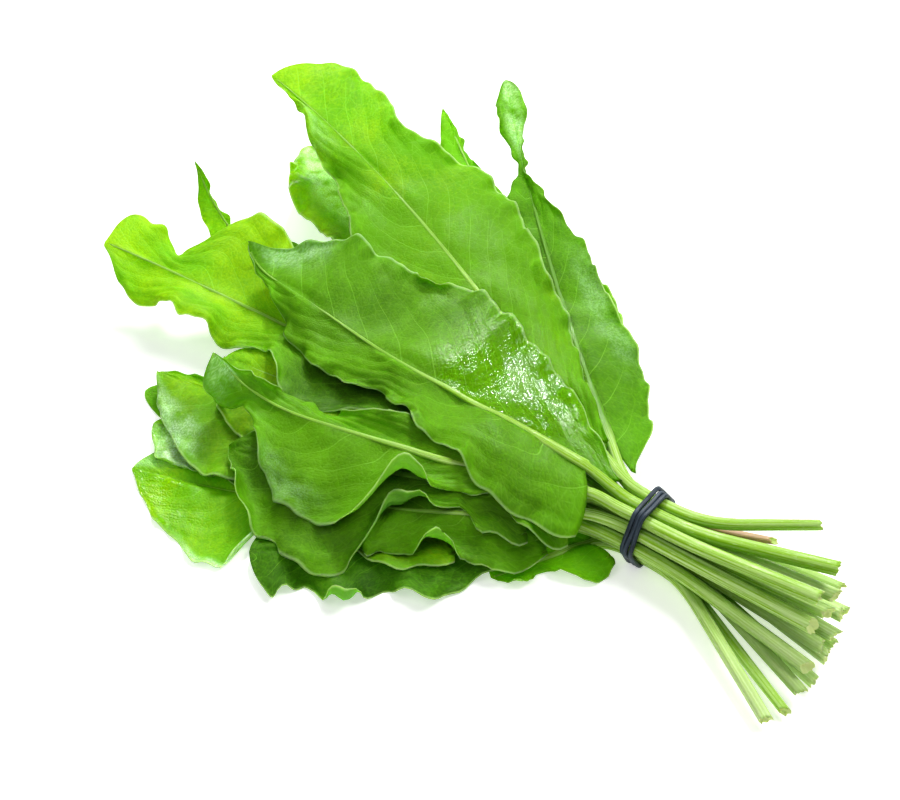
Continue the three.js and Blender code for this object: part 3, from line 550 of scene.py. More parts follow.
def carried(lift, stiffness):
    """Each lift raised to `stiffness` times the mean of its four neighbours, where it is less."""
    wide = np.pad(lift, 1, mode="edge")
    around = wide[:-2, 1:-1] + wide[2:, 1:-1] + wide[1:-1, :-2] + wide[1:-1, 2:]
    return np.maximum(lift, stiffness * around / 4)


def lay_core(leaf):
    """Lifts a coarse blade and its stalk off the pile in CORE_PASSES passes, and puts them on the pile.
    Gives the lifts of the blade, the stations of the stalk and the lifts there."""
    grid = blade_surface(leaf, *np.meshgrid(CORE_ROWS, CORE_COLUMNS, indexing="ij"))
    samples = within_quads(grid)
    blade_need = core_pile.under(samples) + LEAF_GAP + CORE_THICKNESS / 2 - samples[..., 2]
    rib_share = np.clip(1 - CORE_ROWS / RIB_RUN, 0, 1)
    rib_radii = np.maximum(RIB_END + (RIB_RADIUS - RIB_END) * rib_share, CORE_THICKNESS / 2)
    rib_points, rib_width = within_links(grid[:, MIDDLE]), within_links(rib_radii)
    rib_need = core_pile.under(rib_points) + LEAF_GAP + rib_width - rib_points[..., 2]

    links = max(2, int(math.floor((leaf["stalk"] - TIED_RUN) / STALK_STEP + 0.5)))
    stations = np.concatenate([[0], TIED_RUN + np.arange(links + 1) * (leaf["stalk"] - TIED_RUN) / links])
    point, _, side, _ = on_line(leaf, walk(leaf), stations)
    points, sides = within_links(point), within_links(side)
    radii, runs = within_links(stalk_radius(stations)), within_links(stations)
    stalk_need = np.full(runs.shape, NO_NEED)
    for off in NEED_SHARES:
        beside = points + sides * (off * radii)[..., None]
        reach = radii * math.sqrt(1 - off * off)
        stalk_need = np.maximum(stalk_need, core_pile.under(beside) + LEAF_GAP + reach - points[..., 2])
    stalk_need[runs < FREE_RUN] = NO_NEED

    lift, raised = np.zeros(grid.shape[:2]), np.zeros(len(stations))
    for _ in range(CORE_PASSES):
        push = to_corners(np.maximum(blade_need - within_quads(lift), 0), lift.shape)
        rib_strain = np.maximum(rib_need - within_links(lift[:, MIDDLE]), 0)
        push[:, MIDDLE] = np.maximum(push[:, MIDDLE], to_ends(rib_strain, 0))
        lift = carried(lift + push, CORE_STIFFNESS)
        raised[-1] = max(raised[-1], lift[0, MIDDLE])
        raised = raised + to_ends(np.maximum(stalk_need - within_links(raised), 0), TIED_POINTS)
        for _ in range(STALK_PASSES):
            raised[2:-1] = np.maximum(raised[2:-1], STALK_STIFFNESS * (raised[1:-2] + raised[3:]))
        lift[0, MIDDLE] = max(lift[0, MIDDLE], raised[-1])
    lift = lift + to_corners(np.maximum(blade_need - within_quads(lift), 0), lift.shape, weighted=False)
    raised = raised + to_ends(
        np.maximum(stalk_need - within_links(raised), 0), TIED_POINTS, weighted=False)
    raised[-1] = lift[0, MIDDLE] = max(raised[-1], lift[0, MIDDLE])

    grid[..., 2] += lift
    point[:, 2] += raised
    samples = within_quads(grid)
    core_pile.put(samples, samples[..., 2] + CORE_THICKNESS / 2)
    rib_points = within_links(grid[:, MIDDLE])
    core_pile.put(rib_points, rib_points[..., 2] + np.maximum(CORE_THICKNESS / 2, RIB_TOP_SHARE * rib_width))
    points, free = within_links(point), runs > PUT_RUN
    for off in PUT_SHARES:
        beside = (points + sides * (off * radii)[..., None])[free]
        core_pile.put(beside, (points[..., 2] + radii * math.sqrt(1 - off * off))[free], spread=0)
    return lift, stations, raised


for leaf in LEAVES:
    leaf["lift"], leaf["stations"], leaf["raised"] = lay_core(leaf)
print("lifts in mm:", {leaf["name"][-2:]: round(float(leaf["lift"].max()), 1) for leaf in LEAVES})

# %% [markdown]
# ## The fine blade
#
# Fresh sorrel is never flat. Side veins leave the midrib in shallow grooves and arch
# towards the tip, the tissue between them swells, the whole blade waves softly, and the
# margin is crisped. These are real dents of a few tenths of a millimetre and more, so
# they are moved in the mesh and not only shaded. Waves that cross each other at chance
# headings never repeat, as one wave would. The lifts of the coarse blade are spread over
# the fine one and smoothed, and then it is settled once more on a finer map, so that no
# ruffle cuts into its neighbour.

# %% Where the side veins run
VEIN_PAIRS_PER_MM, FEWEST_VEIN_PAIRS = 1 / 13, 4
FIRST_SEED = 100
LEAST_WIDTH = 0.15  # half the width of the very tip
ROUND = 6.28  # about one turn of a wave, in radians, near enough for waves of chance
VEIN_STEP = 0.45  # how far the veins of the two halves are out of line, in veins
VEIN_ARCH, VEIN_HOOK, STRAYS = 1.5, 0.9, 3


def number_of(leaf):
    """The number at the end of the leaf's name."""
    return int(leaf["name"][-2:])


def seeded(leaf):
    """The leaf's own draw of chance numbers, the same each time."""
    return np.random.default_rng(FIRST_SEED + number_of(leaf))


def vein_count(leaf):
    """Pairs of side veins: one for every 13 mm of the blade, and no fewer than four."""
    return max(FEWEST_VEIN_PAIRS, round(leaf["blade"] * VEIN_PAIRS_PER_MM))


def vein_place(leaf, u, v):
    """A number that is a whole one along each side vein: it grows along the blade, and falls behind
    outwards, so that the veins arch towards the tip. The two sides step out of line with each other."""
    draw = seeded(leaf)
    count, edge = vein_count(leaf), np.abs(v)
    arch = half_width(leaf, u, LEAST_WIDTH) / leaf["blade"] * (VEIN_ARCH * edge + VEIN_HOOK * edge**2)
    stray = 0
    for _ in range(STRAYS):
        wave, turn, size = draw.uniform(1, 3), draw.uniform(0, ROUND, 2), draw.uniform(0.02, 0.06)
        stray = stray + size * np.sin(wave * ROUND * u + np.where(v < 0, turn[0], turn[1]) + 2 * edge)
    return count * (u - arch) + smooth(edge / 0.3) * (stray + np.where(v < 0, VEIN_STEP, 0.0))


print("side vein pairs:", [vein_count(leaf) for leaf in LEAVES])

# %% Relief of the skin
SWELLING, SWELLING_RUN = 0.20, 0.35  # height in millimetres, and run in veins
VEIN_GROOVE, VEIN_WIDTH, MIDRIB_GROOVE, MIDRIB_WIDTH = 0.16, 0.07, 0.25, 1.6
FADE_AT_RIB, FADE_AT_MARGIN, FADE_AT_TIP = 0.12, 0.15, 0.1
WAVES = ((34.0, 0.8), (14.0, 0.28), (6.5, 0.07), (3.4, 0.02))  # length and height in millimetres
HEADINGS, HEADINGS_CALM = 3, 1.7  # crossed waves of each length, and what their sum is divided by
CRISP_START, CRISP_RUN = 0.72, 0.28  # of the half width
CRISP_BASE, CRISP_TIP = 0.06, 0.08  # of the blade's length, where the frills rise and die away
CRISP_LENGTH, CRISP_HEIGHT, FRILL_LENGTH, FRILL_HEIGHT = 14, 1.0, 6.1, 0.55


def relief(leaf, u, v, run, span):
    """Height of the skin over the plain blade: grooves along the midrib and the side veins, swellings
    between them, crossed sines from broad waves down to fine puckers, and a crisped margin."""
    draw = seeded(leaf)
    edge = np.abs(v)
    phase = vein_place(leaf, u, v)
    off = np.abs((phase + 0.5) % 1 - 0.5)
    inside = smooth(edge / FADE_AT_RIB) * smooth((1 - edge) / FADE_AT_MARGIN) * smooth((1 - u) / FADE_AT_TIP)
    swelling = SWELLING * smooth(off / SWELLING_RUN)
    height = inside * (swelling - VEIN_GROOVE * np.exp(-((off / VEIN_WIDTH) ** 2)))
    height = height - MIDRIB_GROOVE * np.exp(-((span / MIDRIB_WIDTH) ** 2)) * smooth((1 - u) / 0.3)
    for length, size in WAVES:
        for _ in range(HEADINGS):
            heading, turn = draw.uniform(0, ROUND, 2)
            wave = ROUND / (length * draw.uniform(0.8, 1.25))
            height = height + size * inside * np.sin(
                wave * (run * math.cos(heading) + span * math.sin(heading)) + turn) / HEADINGS_CALM
    side_turn = np.where(v < 0, draw.uniform(0, ROUND), draw.uniform(0, ROUND))
    crisp = smooth((edge - CRISP_START) / CRISP_RUN) * smooth(u / CRISP_BASE) * smooth((1 - u) / CRISP_TIP)
    frill = CRISP_HEIGHT * np.sin(ROUND * run / CRISP_LENGTH + side_turn)
    frill = frill + FRILL_HEIGHT * np.sin(ROUND * run / FRILL_LENGTH + 2.3 * side_turn)
    return height + crisp * frill


print("relief up to", CRISP_HEIGHT + FRILL_HEIGHT, "mm at the margin")

# %% Settling the fine blade
FINE_STEP = 1.0
SKIN_GAP = 0.62  # between the middle surfaces of two fine blades
FINE_PASSES, FINE_STIFFNESS, SETTLED_SHARE = 40, 0.985, 0.7
TIP_DENSITY, MARGIN_DENSITY = 1.25, 0.3
fine_pile = Pile(cell=0.75, bottom=-0.15)


def softened(values, passes):
    """Each value drawn towards its neighbours, passes times, with 1-2-1 weights both ways."""
    for _ in range(passes):
        for axis in (0, 1):
            wide = np.pad(values, [(1, 1) if a == axis else (0, 0) for a in (0, 1)], mode="edge")
            low, high = (wide[:-2], wide[2:]) if axis == 0 else (wide[:, :-2], wide[:, 2:])
            values = 0.5 * values + 0.25 * (low + high)
    return values


def spread_lift(leaf, u, v):
    """The coarse lifts, read between the coarse rows and columns, then smoothed."""
    by_column = np.stack([np.interp(u, CORE_ROWS, column) for column in leaf["lift"].T], 1)
    fine = np.stack([np.interp(v, CORE_COLUMNS, row) for row in by_column])
    return softened(fine, passes=14)


def surface_normals(points):
    """Unit normals of a grid of points: the cross product of its two differences."""
    normal = np.cross(np.gradient(points, axis=1), np.gradient(points, axis=0))
    return normal / np.maximum(np.linalg.norm(normal, axis=-1, keepdims=True), 1e-9)


def rolled_tip(leaf, points):
    """The blade with its tip rolled up: what lies beyond a line across the tip is bent round a circle, by
    `angle` over `length` mm. The line stands square to a direction that is `aside` off the midrib."""
    if not leaf["tip_roll"]:
        return points
    length, aside, angle = leaf["tip_roll"]
    _, along, side, up = on_line(leaf, walk(leaf), leaf["stalk"] + leaf["blade"])
    towards = along * math.cos(math.radians(aside)) + side * math.sin(math.radians(aside))
    tip = points[-1, points.shape[1] // 2]
    beyond = np.maximum((points - tip) @ towards + length, 0)
    bend = math.radians(angle) / length
    return (points + towards * (np.sin(bend * beyond) / bend - beyond)[..., None]
            + up * ((1 - np.cos(bend * beyond)) / bend)[..., None])


def fine_blade(leaf):
    """Rows denser at the tip, by the power TIP_DENSITY, and columns denser at the margins, by a cubic. Gives
    u, v, the settled points and the skin's run and span in mm."""
    rows = 2 * round(leaf["blade"] / FINE_STEP / 2)
    columns = 2 * round(leaf["width"] / FINE_STEP / 2)
    t = np.linspace(-1, 1, columns + 1)
    u_line = 1 - (1 - np.linspace(0, 1, rows + 1)) ** TIP_DENSITY
    v_line = t * (1 + MARGIN_DENSITY - MARGIN_DENSITY * t * t)
    u, v = np.meshgrid(u_line, v_line, indexing="ij")
    points = blade_surface(leaf, u, v, LEAST_WIDTH)
    points[..., 2] += spread_lift(leaf, u_line, v_line)
    points = rolled_tip(leaf, points)
    run, span = u * leaf["blade"], v * half_width(leaf, u, LEAST_WIDTH)
    points = points + surface_normals(points) * relief(leaf, u, v, run, span)[..., None]
    lift = np.zeros(u.shape)
    need = fine_pile.under(points) + SKIN_GAP - points[..., 2]
    for _ in range(FINE_PASSES):
        lift = carried(np.maximum(lift, need), FINE_STIFFNESS)
    lift = np.maximum(softened(lift, passes=3), need * SETTLED_SHARE)
    points[..., 2] += lift
    for shift in (0, 1):
        between = (points[shift:] + points[:len(points) - shift]) / 2
        fine_pile.put(between, between[..., 2])
    leaf["settled"] = float(lift[0, columns // 2])
    return u, v, points, run, span


print("step of the fine grid:", FINE_STEP, "mm")

# %% [markdown]
# ## The stalk and the midrib
#
# One line runs from the cut end through the tie and up the blade almost to the tip, and
# grows thinner on the way. Its section is round below and grooved above, with fine
# ribs, and it flattens towards the blade. So it is a ring of points carried along that
# line, as wire is drawn through a die. The cut end is torn: its rim is uneven and its
# middle has shrunk in.

# %% The tube of a stalk
RING_POINTS = 20
FINE_RIB_RADIUS, FINE_RIB_END, FINE_RIB_POWER = 1.45, 0.25, 1.9
RIB_SHARE = 0.97  # of the blade that the midrib reaches up
TAIL_TURN_RUN, FLAT_START, FLAT_RUN = 30, 20, 30
FLATTENING = 0.25
CUT_GROOVE, STALK_GROOVE, RIB_GROOVE = 0.14, 0.24, 0.12  # depths, as shares of the radius
GROOVE_WIDTH, GROOVE_RUN = 0.5, 40
STALK_STEP_FINE = 1.5
RIBS = ((5, 0.035, 0.01), (9, 0.02, -0.013))  # how many, height as a share of the radius, turn per mm
PLAIN_SHARE = 0.96  # of the radius, before the ribs are added
TEAR, TEAR_SLANT, TEAR_BEHIND = 0.35, 0.8, 0.4
CUT_RINGS = ((0.9, -0.1), (0.62, -0.5), (0.3, -0.7))  # share of the rim, and how far it has sunk in


def tail_line(leaf):
    """The stalk from the cut end to the band, a point every millimetre, with its side and up vectors. It
    bends to its own way within TAIL_TURN_RUN."""
    length, way, rise = leaf["tail"]
    s = np.arange(0, round(length) + 1, 1.0)
    turn = smooth((s + 0.5) / TAIL_TURN_RUN)
    along, side, up = frame_at(-way * turn, -rise * turn, 0 * s)
    points = slot_centre(leaf["slot"]) - np.cumsum(along, 0) + along[:1]
    return s[::-1], points[::-1], side[::-1], up[::-1]


def stalk_tube(leaf, blade_points, u_line):
    """Rings of points: a circle of the local radius with a groove on top, five low ribs and nine lower ones,
    flattened to an oval towards the blade. In the blade its radius falls with (1 - u)^FINE_RIB_POWER."""
    draw = seeded(leaf)
    tail_s, tail_points, tail_side, tail_up = tail_line(leaf)
    s = np.arange(STALK_STEP_FINE, leaf["stalk"] - 0.5, STALK_STEP_FINE)
    point, _, side, up = on_line(leaf, walk(leaf), s)
    settled = leaf["settled"] * smooth((s - TIED_RUN) / (leaf["stalk"] - TIED_RUN))
    raised = np.interp(s, leaf["stations"], leaf["raised"])
    raised = softened(np.stack([raised, raised], 1), passes=3)[:, 0]
    point[:, 2] += raised + settled
    rows = np.arange(0, int(len(u_line) * RIB_SHARE), 2)
    middle = blade_points[rows, blade_points.shape[1] // 2]
    _, _, blade_side, blade_up = on_line(leaf, walk(leaf), leaf["stalk"] + u_line[rows] * leaf["blade"])
    rib = FINE_RIB_END + (FINE_RIB_RADIUS - FINE_RIB_END) * (1 - u_line[rows]) ** FINE_RIB_POWER
    centres = np.concatenate([tail_points, point, middle])
    sides = np.concatenate([tail_side, side, blade_side])
    ups = np.concatenate([tail_up, up, blade_up])
    tail_radius = STALK_RADIUS * (1 + leaf["cut"] * tail_s / leaf["tail"][0])
    fine_stalk = STALK_RADIUS - (STALK_RADIUS - FINE_RIB_RADIUS) * smooth(s / THINNING_RUN)
    radii = np.concatenate([tail_radius, fine_stalk, rib])
    run = np.concatenate([-tail_s - leaf["stalk"], s - leaf["stalk"], u_line[rows] * leaf["blade"]])

    theta = np.arange(RING_POINTS) / RING_POINTS * 2 * np.pi
    from_cut = smooth((leaf["tail"][0] - tail_s) / GROOVE_RUN)
    groove = np.concatenate([
        CUT_GROOVE + (STALK_GROOVE - CUT_GROOVE) * from_cut, STALK_GROOVE + 0 * s,
        RIB_GROOVE * (1 - u_line[rows])])
    top = np.exp(-(((theta - np.pi / 2) / GROOVE_WIDTH) ** 2))
    ribs = 0
    for count, height, turn in RIBS:
        ribs = ribs + height * np.cos(count * theta[None] + draw.uniform(0, ROUND) + turn * run[:, None])
    reach = radii[:, None] * (PLAIN_SHARE - groove[:, None] * top[None] + ribs)
    flat = np.concatenate([0 * tail_s, smooth((s - FLAT_START) / FLAT_RUN), 1 + 0 * rib])
    flat = FLATTENING * flat[:, None]
    rings = (centres[:, None] + sides[:, None] * (np.cos(theta)[None] * reach * (1 + flat))[..., None]
             + ups[:, None] * (np.sin(theta)[None] * reach * (1 - flat))[..., None])
    torn = draw.normal(0, TEAR, RING_POINTS) + TEAR_SLANT * np.cos(theta + draw.uniform(0, ROUND))
    outward = centres[0] - centres[1]
    outward = outward / np.linalg.norm(outward)
    rings[0] += outward * torn[:, None]
    rings[1] += outward * TEAR_BEHIND * torn[:, None]
    closing = [centres[0] + (rings[0] - centres[0]) * share + outward * sink for share, sink in CUT_RINGS]
    return np.concatenate([closing[::-1], rings]), np.concatenate([[run[0]] * len(CUT_RINGS), run]), theta


print("stalk ring of", RING_POINTS, "points")

# %% [markdown]
# ## From surfaces to a closed body
#
# The blade is a sheet with an upper and a lower face, a third of a millimetre apart,
# that meet in a thin margin. The stalk is a closed tube. Every point also carries what
# the finish needs to know, as a mark: how far along and across it lies, where the veins
# run, how waxy the skin is, where a silvery highlight is painted on it, its tone with any
# painted shade, and whether it is upper side, underside, stalk or cut. A picture of the
# leaf could say the same, but marks need no unwrapping, and they follow the blade
# through every bend.

# %% Marks of the skin
WAX_OVERLAP, WAX_FADE = 0.12, 0.2  # of the half width, about the midrib
SHADE_FADE, TIP_TONE_START, TIP_TONE_RUN = 0.3, 0.45, 0.5  # of the blade's length


def wax(leaf, u, v):
    """Where the skin is waxiest: round one place on one half of the blade, fading out along it as a bell."""
    if not leaf["shine"]:
        return 0 * u
    below, place, reach = leaf["shine"]
    outwards = -v if below else v
    return np.exp(-(((u - place) / reach) ** 2)) * smooth((WAX_OVERLAP + outwards) / WAX_FADE)


def bloom(leaf, u, v):
    """Painted sheen: how strongly a silvery highlight is painted on the skin, in spots that are full
    within their reach along and across the blade, and fall off fast beyond it, as exp(-x^4)."""
    total = 0 * u
    for place, reach, aside, wide, strength in leaf["bloom"]:
        total = total + strength * np.exp(-(((u - place) / reach) ** 4) - ((v - aside) / wide) ** 4)
    return total


def age_tone_and_painted_shade(leaf, along):
    """The leaf's tone at a share of its blade: up to `shade` it is painted shade, as dark as an old
    leaf, then its own, with `tip_tone` added towards the tip."""
    lit = smooth((along - leaf["shade"]) / SHADE_FADE) if leaf["shade"] else 1
    near_tip = smooth((along - TIP_TONE_START) / TIP_TONE_RUN)
    return leaf["tone"] * lit - (1 - lit) + leaf["tip_tone"] * near_tip


def write_mark(mesh, name, values):
    """One number at every point of the mesh, which its material can read."""
    mark = mesh.attributes.new(name, "FLOAT", "POINT")
    mark.data.foreach_set("value", np.asarray(values, np.float32))


print("leaves with waxy skin:", sum(bool(leaf["shine"]) for leaf in LEAVES))

# %% Closed bodies
BLADE_THICKNESS = 0.34
MARGIN_TAPER = 0.55  # share of the thickness that each row of points in from the margin gains
CUT_INSIDE, CUT_RIM = 0.9, 0.5  # how much a point of the cut's face and of its rim shows the cut's colour


def quads_of(index):
    """The quads of a grid of vertex numbers."""
    return np.stack([index[:-1, :-1], index[:-1, 1:], index[1:, 1:], index[1:, :-1]], -1).reshape(-1, 4)


def blade_body(leaf, u, v, points, run, span):
    """Both faces of the blade, offset along the normal by half the thickness and joined at the margin."""
    normal = surface_normals(points)
    row, column = np.indices(u.shape)
    from_ends = np.minimum(row, u.shape[0] - 1 - row)
    ring = np.minimum(from_ends, np.minimum(column, u.shape[1] - 1 - column))
    rib_swell = 1 + 0.5 * np.exp(-((span / 2) ** 2)) * (1 - u)
    offset = normal * (BLADE_THICKNESS / 2 * rib_swell * np.clip(MARGIN_TAPER * ring, 0, 1))[..., None]
    upper = np.arange(u.size).reshape(u.shape)
    lower = upper.copy()
    inner = ring > 0
    lower[inner] = upper.size + np.arange(inner.sum())
    vertices = np.concatenate([(points + offset).reshape(-1, 3), (points - offset)[inner]])
    faces = np.concatenate([quads_of(upper), quads_of(lower)[:, ::-1]])

    def both(values):
        return np.concatenate([values.reshape(-1), values[inner]])

    marks = dict(
        run=both(run), span=both(span), edge=both(np.abs(v)), vein=both(vein_place(leaf, u, v)),
        along=both(u), wax=both(wax(leaf, u, v)), bloom=both(bloom(leaf, u, v)),
        stalk=np.zeros(len(vertices)), cut=np.zeros(len(vertices)),
        under=np.concatenate([0.5 * (~inner).reshape(-1), np.ones(inner.sum())]),
    )
    return vertices, faces, marks


def stalk_body(leaf, rings, run, theta):
    """The tube's quads, with one fan of triangles at each end."""
    count, around = rings.shape[:2]
    index = np.arange(count * around).reshape(count, around)
    index = np.concatenate([index, index[:, :1]], 1)
    faces = quads_of(index)
    vertices = np.concatenate([rings.reshape(-1, 3), rings[:1].mean(1), rings[-1:].mean(1)])
    start, end = count * around, count * around + 1
    fans = [np.stack([index[0, 1:], index[0, :-1], np.full(around, start)], -1),
            np.stack([index[-1, :-1], index[-1, 1:], np.full(around, end)], -1)]
    rim = len(CUT_RINGS) * around
    cut = np.zeros(len(vertices))
    cut[:rim] = CUT_INSIDE
    cut[rim:rim + around] = CUT_RIM
    cut[start] = 1
    run = np.concatenate([np.repeat(run, around), [run[0], run[-1]]])
    angle = np.tile(theta, count)
    marks = dict(
        run=run, span=np.concatenate([angle * 2, [0, 0]]), edge=np.zeros(len(vertices)),
        vein=np.full(len(vertices), 0.5), along=np.clip(run / leaf["blade"], -1, 1),
        wax=np.full(len(vertices), 0.5), bloom=np.zeros(len(vertices)),
        stalk=np.ones(len(vertices)), cut=cut,
        under=np.concatenate([0.5 - 0.5 * np.sin(angle), [0.5, 0.5]]),
    )
    return vertices, faces, fans, marks


print("a blade is", BLADE_THICKNESS, "mm thick")

# %% The leaves as objects
SHIFT_OF_PATTERN = 37.0  # from one leaf to the next, so that no two have the same patches


def leaf_object(leaf):
    """Blade and stalk in one mesh, in metres, with their marks as attributes of its points."""
    u, v, points, run, span = fine_blade(leaf)
    blade_vertices, blade_faces, blade_marks = blade_body(leaf, u, v, points, run, span)
    rings, tube_run, theta = stalk_tube(leaf, points, u[:, 0])
    tube_vertices, tube_faces, fans, tube_marks = stalk_body(leaf, rings, tube_run, theta)
    shift = len(blade_vertices)
    vertices = np.concatenate([blade_vertices, tube_vertices]) * MM
    faces = blade_faces.tolist() + (tube_faces + shift).tolist()
    for fan in fans:
        faces += (fan + shift).tolist()
    mesh = bpy.data.meshes.new(f"sorrel_{leaf['name']}")
    mesh.from_pydata(vertices.tolist(), [], faces)
    mesh.shade_smooth()
    marks = {mark: np.concatenate([blade_marks[mark], tube_marks[mark]]) for mark in blade_marks}
    marks["tone"] = age_tone_and_painted_shade(leaf, marks["along"])
    marks["own"] = np.full(len(vertices), SHIFT_OF_PATTERN * number_of(leaf))
    marks["blush"] = np.full(len(vertices), leaf["blush"])
    for mark, values in marks.items():
        write_mark(mesh, mark, values)
    made = plain_object(f"sorrel_{leaf['name']}", mesh)
    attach(made, "root")
    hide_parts(leaf["name"])
    return made


leaf_objects = [leaf_object(leaf) for leaf in LEAVES]
print("triangles of the leaves:", sum(len(o.data.loops) - 2 * len(o.data.polygons) for o in leaf_objects))

# %% [markdown]
# ## The finish of a leaf
#
# Sorrel tissue is thin and full of water: light goes in, is coloured yellow-green and
# comes out again on either side. That is what a subsurface share does. Colour varies
# with the leaf's age, in soft patches, along the veins, towards the margin, and from the
# deep upper side to the paler underside; darker and yellower greens are also painted as
# shade and as light shining through, and silvery spots as highlights. All of it is
# arithmetic on the marks and on noise, so a few short methods that each add one node
# keep the recipe readable.

# %% Small helpers for shader nodes
class Recipe:
    """Writes a material as lines of arithmetic: every method adds a node and gives back its output."""

    def __init__(self, name):
        self.material = bpy.data.materials.new(name)
        self.material.use_nodes = True
        self.tree = self.material.node_tree
        self.shader = self.tree.nodes["Principled BSDF"]

    def node(self, kind, inputs=(), **settings):
        made = self.tree.nodes.new(kind)
        for key, value in settings.items():
            setattr(made, key, value)
        for key, value in dict(inputs).items():
            self.feed(made.inputs[key], value)
        return made

    def feed(self, socket, value):
        if isinstance(value, bpy.types.NodeSocket):
            self.tree.links.new(value, socket)
        else:
            socket.default_value = value

    def mark(self, name):
        return self.node("ShaderNodeAttribute", attribute_name=name).outputs["Fac"]

    def math(self, operation, a, b=0.0, clamp=False):
        return self.node("ShaderNodeMath", {0: a, 1: b}, operation=operation, use_clamp=clamp).outputs[0]

    def plus(self, a, b, clamp=False):
        return self.math("ADD", a, b, clamp)

    def minus(self, a, b, clamp=False):
        return self.math("SUBTRACT", a, b, clamp)

    def times(self, a, b):
        return self.math("MULTIPLY", a, b)

    def between(self, value, low, high):
        """0 at low, 1 at high, an S-curve between; low may be the greater."""
        inputs = {"Value": value, "From Min": low, "From Max": high}
        return self.node("ShaderNodeMapRange", inputs, interpolation_type="SMOOTHSTEP").outputs[0]

    def mixed(self, share, a, b):
        made = self.node("ShaderNodeMix", data_type="RGBA")
        self.feed(made.inputs["Factor"], share)
        for socket, value in (("A", a), ("B", b)):
            target = [i for i in made.inputs if i.name == socket and i.type == "RGBA"][0]
            self.feed(target, (*value, 1) if isinstance(value, tuple) else value)
        return [o for o in made.outputs if o.type == "RGBA"][0]

    def vector(self, x, y, z=0.0):
        return self.node("ShaderNodeCombineXYZ", {"X": x, "Y": y, "Z": z}).outputs[0]

    def noise(self, vector, scale, detail=3.0):
        inputs = {"Vector": vector, "Scale": scale, "Detail": detail}
        return self.node("ShaderNodeTexNoise", inputs).outputs["Fac"]

    def cells(self, vector, scale):
        """How far a point lies from the seams between chance cells."""
        inputs = {"Vector": vector, "Scale": scale}
        return self.node("ShaderNodeTexVoronoi", inputs, feature="DISTANCE_TO_EDGE").outputs["Distance"]

    def give(self, socket, value):
        self.feed(self.shader.inputs[socket], value)


print("recipe steps:", [m for m in dir(Recipe) if not m.startswith("_")])

# %% The greens of the tissue
# Colours are linear red, green and blue. Noise is scaled per millimetre.
# The old green is also painted shade, the young green also painted light shining through a blade.
OLD_AND_SHADED_GREEN, LEAF_GREEN, YOUNG_AND_BACKLIT_GREEN = (0.030, 0.095, 0.001), (0.122, 0.33, 0.001), (0.31, 0.505, 0.001)
OLD_UNDERSIDE, YOUNG_UNDERSIDE = (0.12, 0.32, 0.03), (0.27, 0.54, 0.06)
PATCHES, GRAIN = 0.055, 1.6


def tissue_colour(r, skin):
    """Age, with painted shade and painted light, moves the green from old and shaded to young and
    backlit: half the tone, patches 10 to 30 mm wide, and half of a grain of about half a millimetre,
    added up. The underside is paler."""
    patches = r.minus(r.noise(skin, PATCHES, 4), 0.5)
    grain = r.minus(r.noise(skin, GRAIN, 2), 0.5)
    age_and_painted_light = r.plus(r.plus(r.times(r.mark("tone"), 0.5), patches), r.times(grain, 0.5))
    upper = r.mixed(r.between(age_and_painted_light, -0.8, 0.2), OLD_AND_SHADED_GREEN, LEAF_GREEN)
    upper = r.mixed(r.between(age_and_painted_light, 0.2, 0.85), upper, YOUNG_AND_BACKLIT_GREEN)
    lower = r.mixed(r.between(age_and_painted_light, -0.7, 1.0), OLD_UNDERSIDE, YOUNG_UNDERSIDE)
    return r.mixed(r.between(r.mark("under"), 0.6, 0.9), upper, lower)


print("greens:", OLD_AND_SHADED_GREEN, LEAF_GREEN, YOUNG_AND_BACKLIT_GREEN)

# %% [markdown]
# ## Veins and painted sheen
#
# The side veins are pale lines that fade towards the margin, with a finer net between
# them. The first follow a mark, because they have to lie in the grooves of the mesh. The
# net is the seams between chance cells. At some tips and folds a silvery sheen is painted
# on as a painted highlight, thin and patchy, so it is a haze of two noises and no line.

# %% Veins, margin and painted sheen
# The silvery colour here is painted sheen: highlights painted into the colour.
VEIN_GREEN, MARGIN_GREEN, PAINTED_SHEEN_SILVER = (0.27, 0.56, 0.06), (0.42, 0.64, 0.24), (0.55, 0.80, 0.50)
NET, FINE_NET = 0.34, 0.95


def side_veins(r):
    """How much of a side vein a point shows: the mark `vein` is a whole number on its middle line."""
    off = r.math("ABSOLUTE", r.minus(r.math("FRACT", r.plus(r.mark("vein"), 0.5)), 0.5))
    return r.times(r.between(off, 0.026, 0.004), r.between(r.mark("edge"), 0.85, 0.35))


def blade_colour(r, skin, side_vein, net):
    """Veins over the tissue, a pale margin over both, and painted silvery highlights on top."""
    net_share = r.plus(0.12, r.times(r.mark("tone"), 0.05))
    net_line = r.times(r.between(net, 0.07, 0.0), net_share)
    veins = r.math("MAXIMUM", r.times(side_vein, 0.42), net_line, clamp=True)
    blade = r.mixed(veins, tissue_colour(r, skin), VEIN_GREEN)
    blade = r.mixed(r.times(r.between(r.mark("edge"), 0.955, 0.99), 0.6), blade, MARGIN_GREEN)
    # Painted highlights: a patchy silvery haze where the spots of painted sheen lie.
    painted_sheen_haze = r.plus(0.45, r.times(r.between(r.noise(skin, 2.2, 2), 0.4, 0.62), 0.55))
    painted_sheen_haze = r.times(painted_sheen_haze, r.between(r.noise(skin, 0.2, 3), 0.25, 0.65))
    return r.mixed(r.times(painted_sheen_haze, r.mark("bloom")), blade, PAINTED_SHEEN_SILVER)


print("cells of the net:", round(1 / NET, 1), "and", round(1 / FINE_NET, 1), "mm")

# %% [markdown]
# ## Stalks
#
# Stalks and midribs are paler than the blade and streaked along their length, some are
# greener than others, and they turn whitish towards the cut. Noise that is stretched
# along the stalk makes the streaks, and each of the rest is one more coat, laid where a
# mark or a second noise says so.

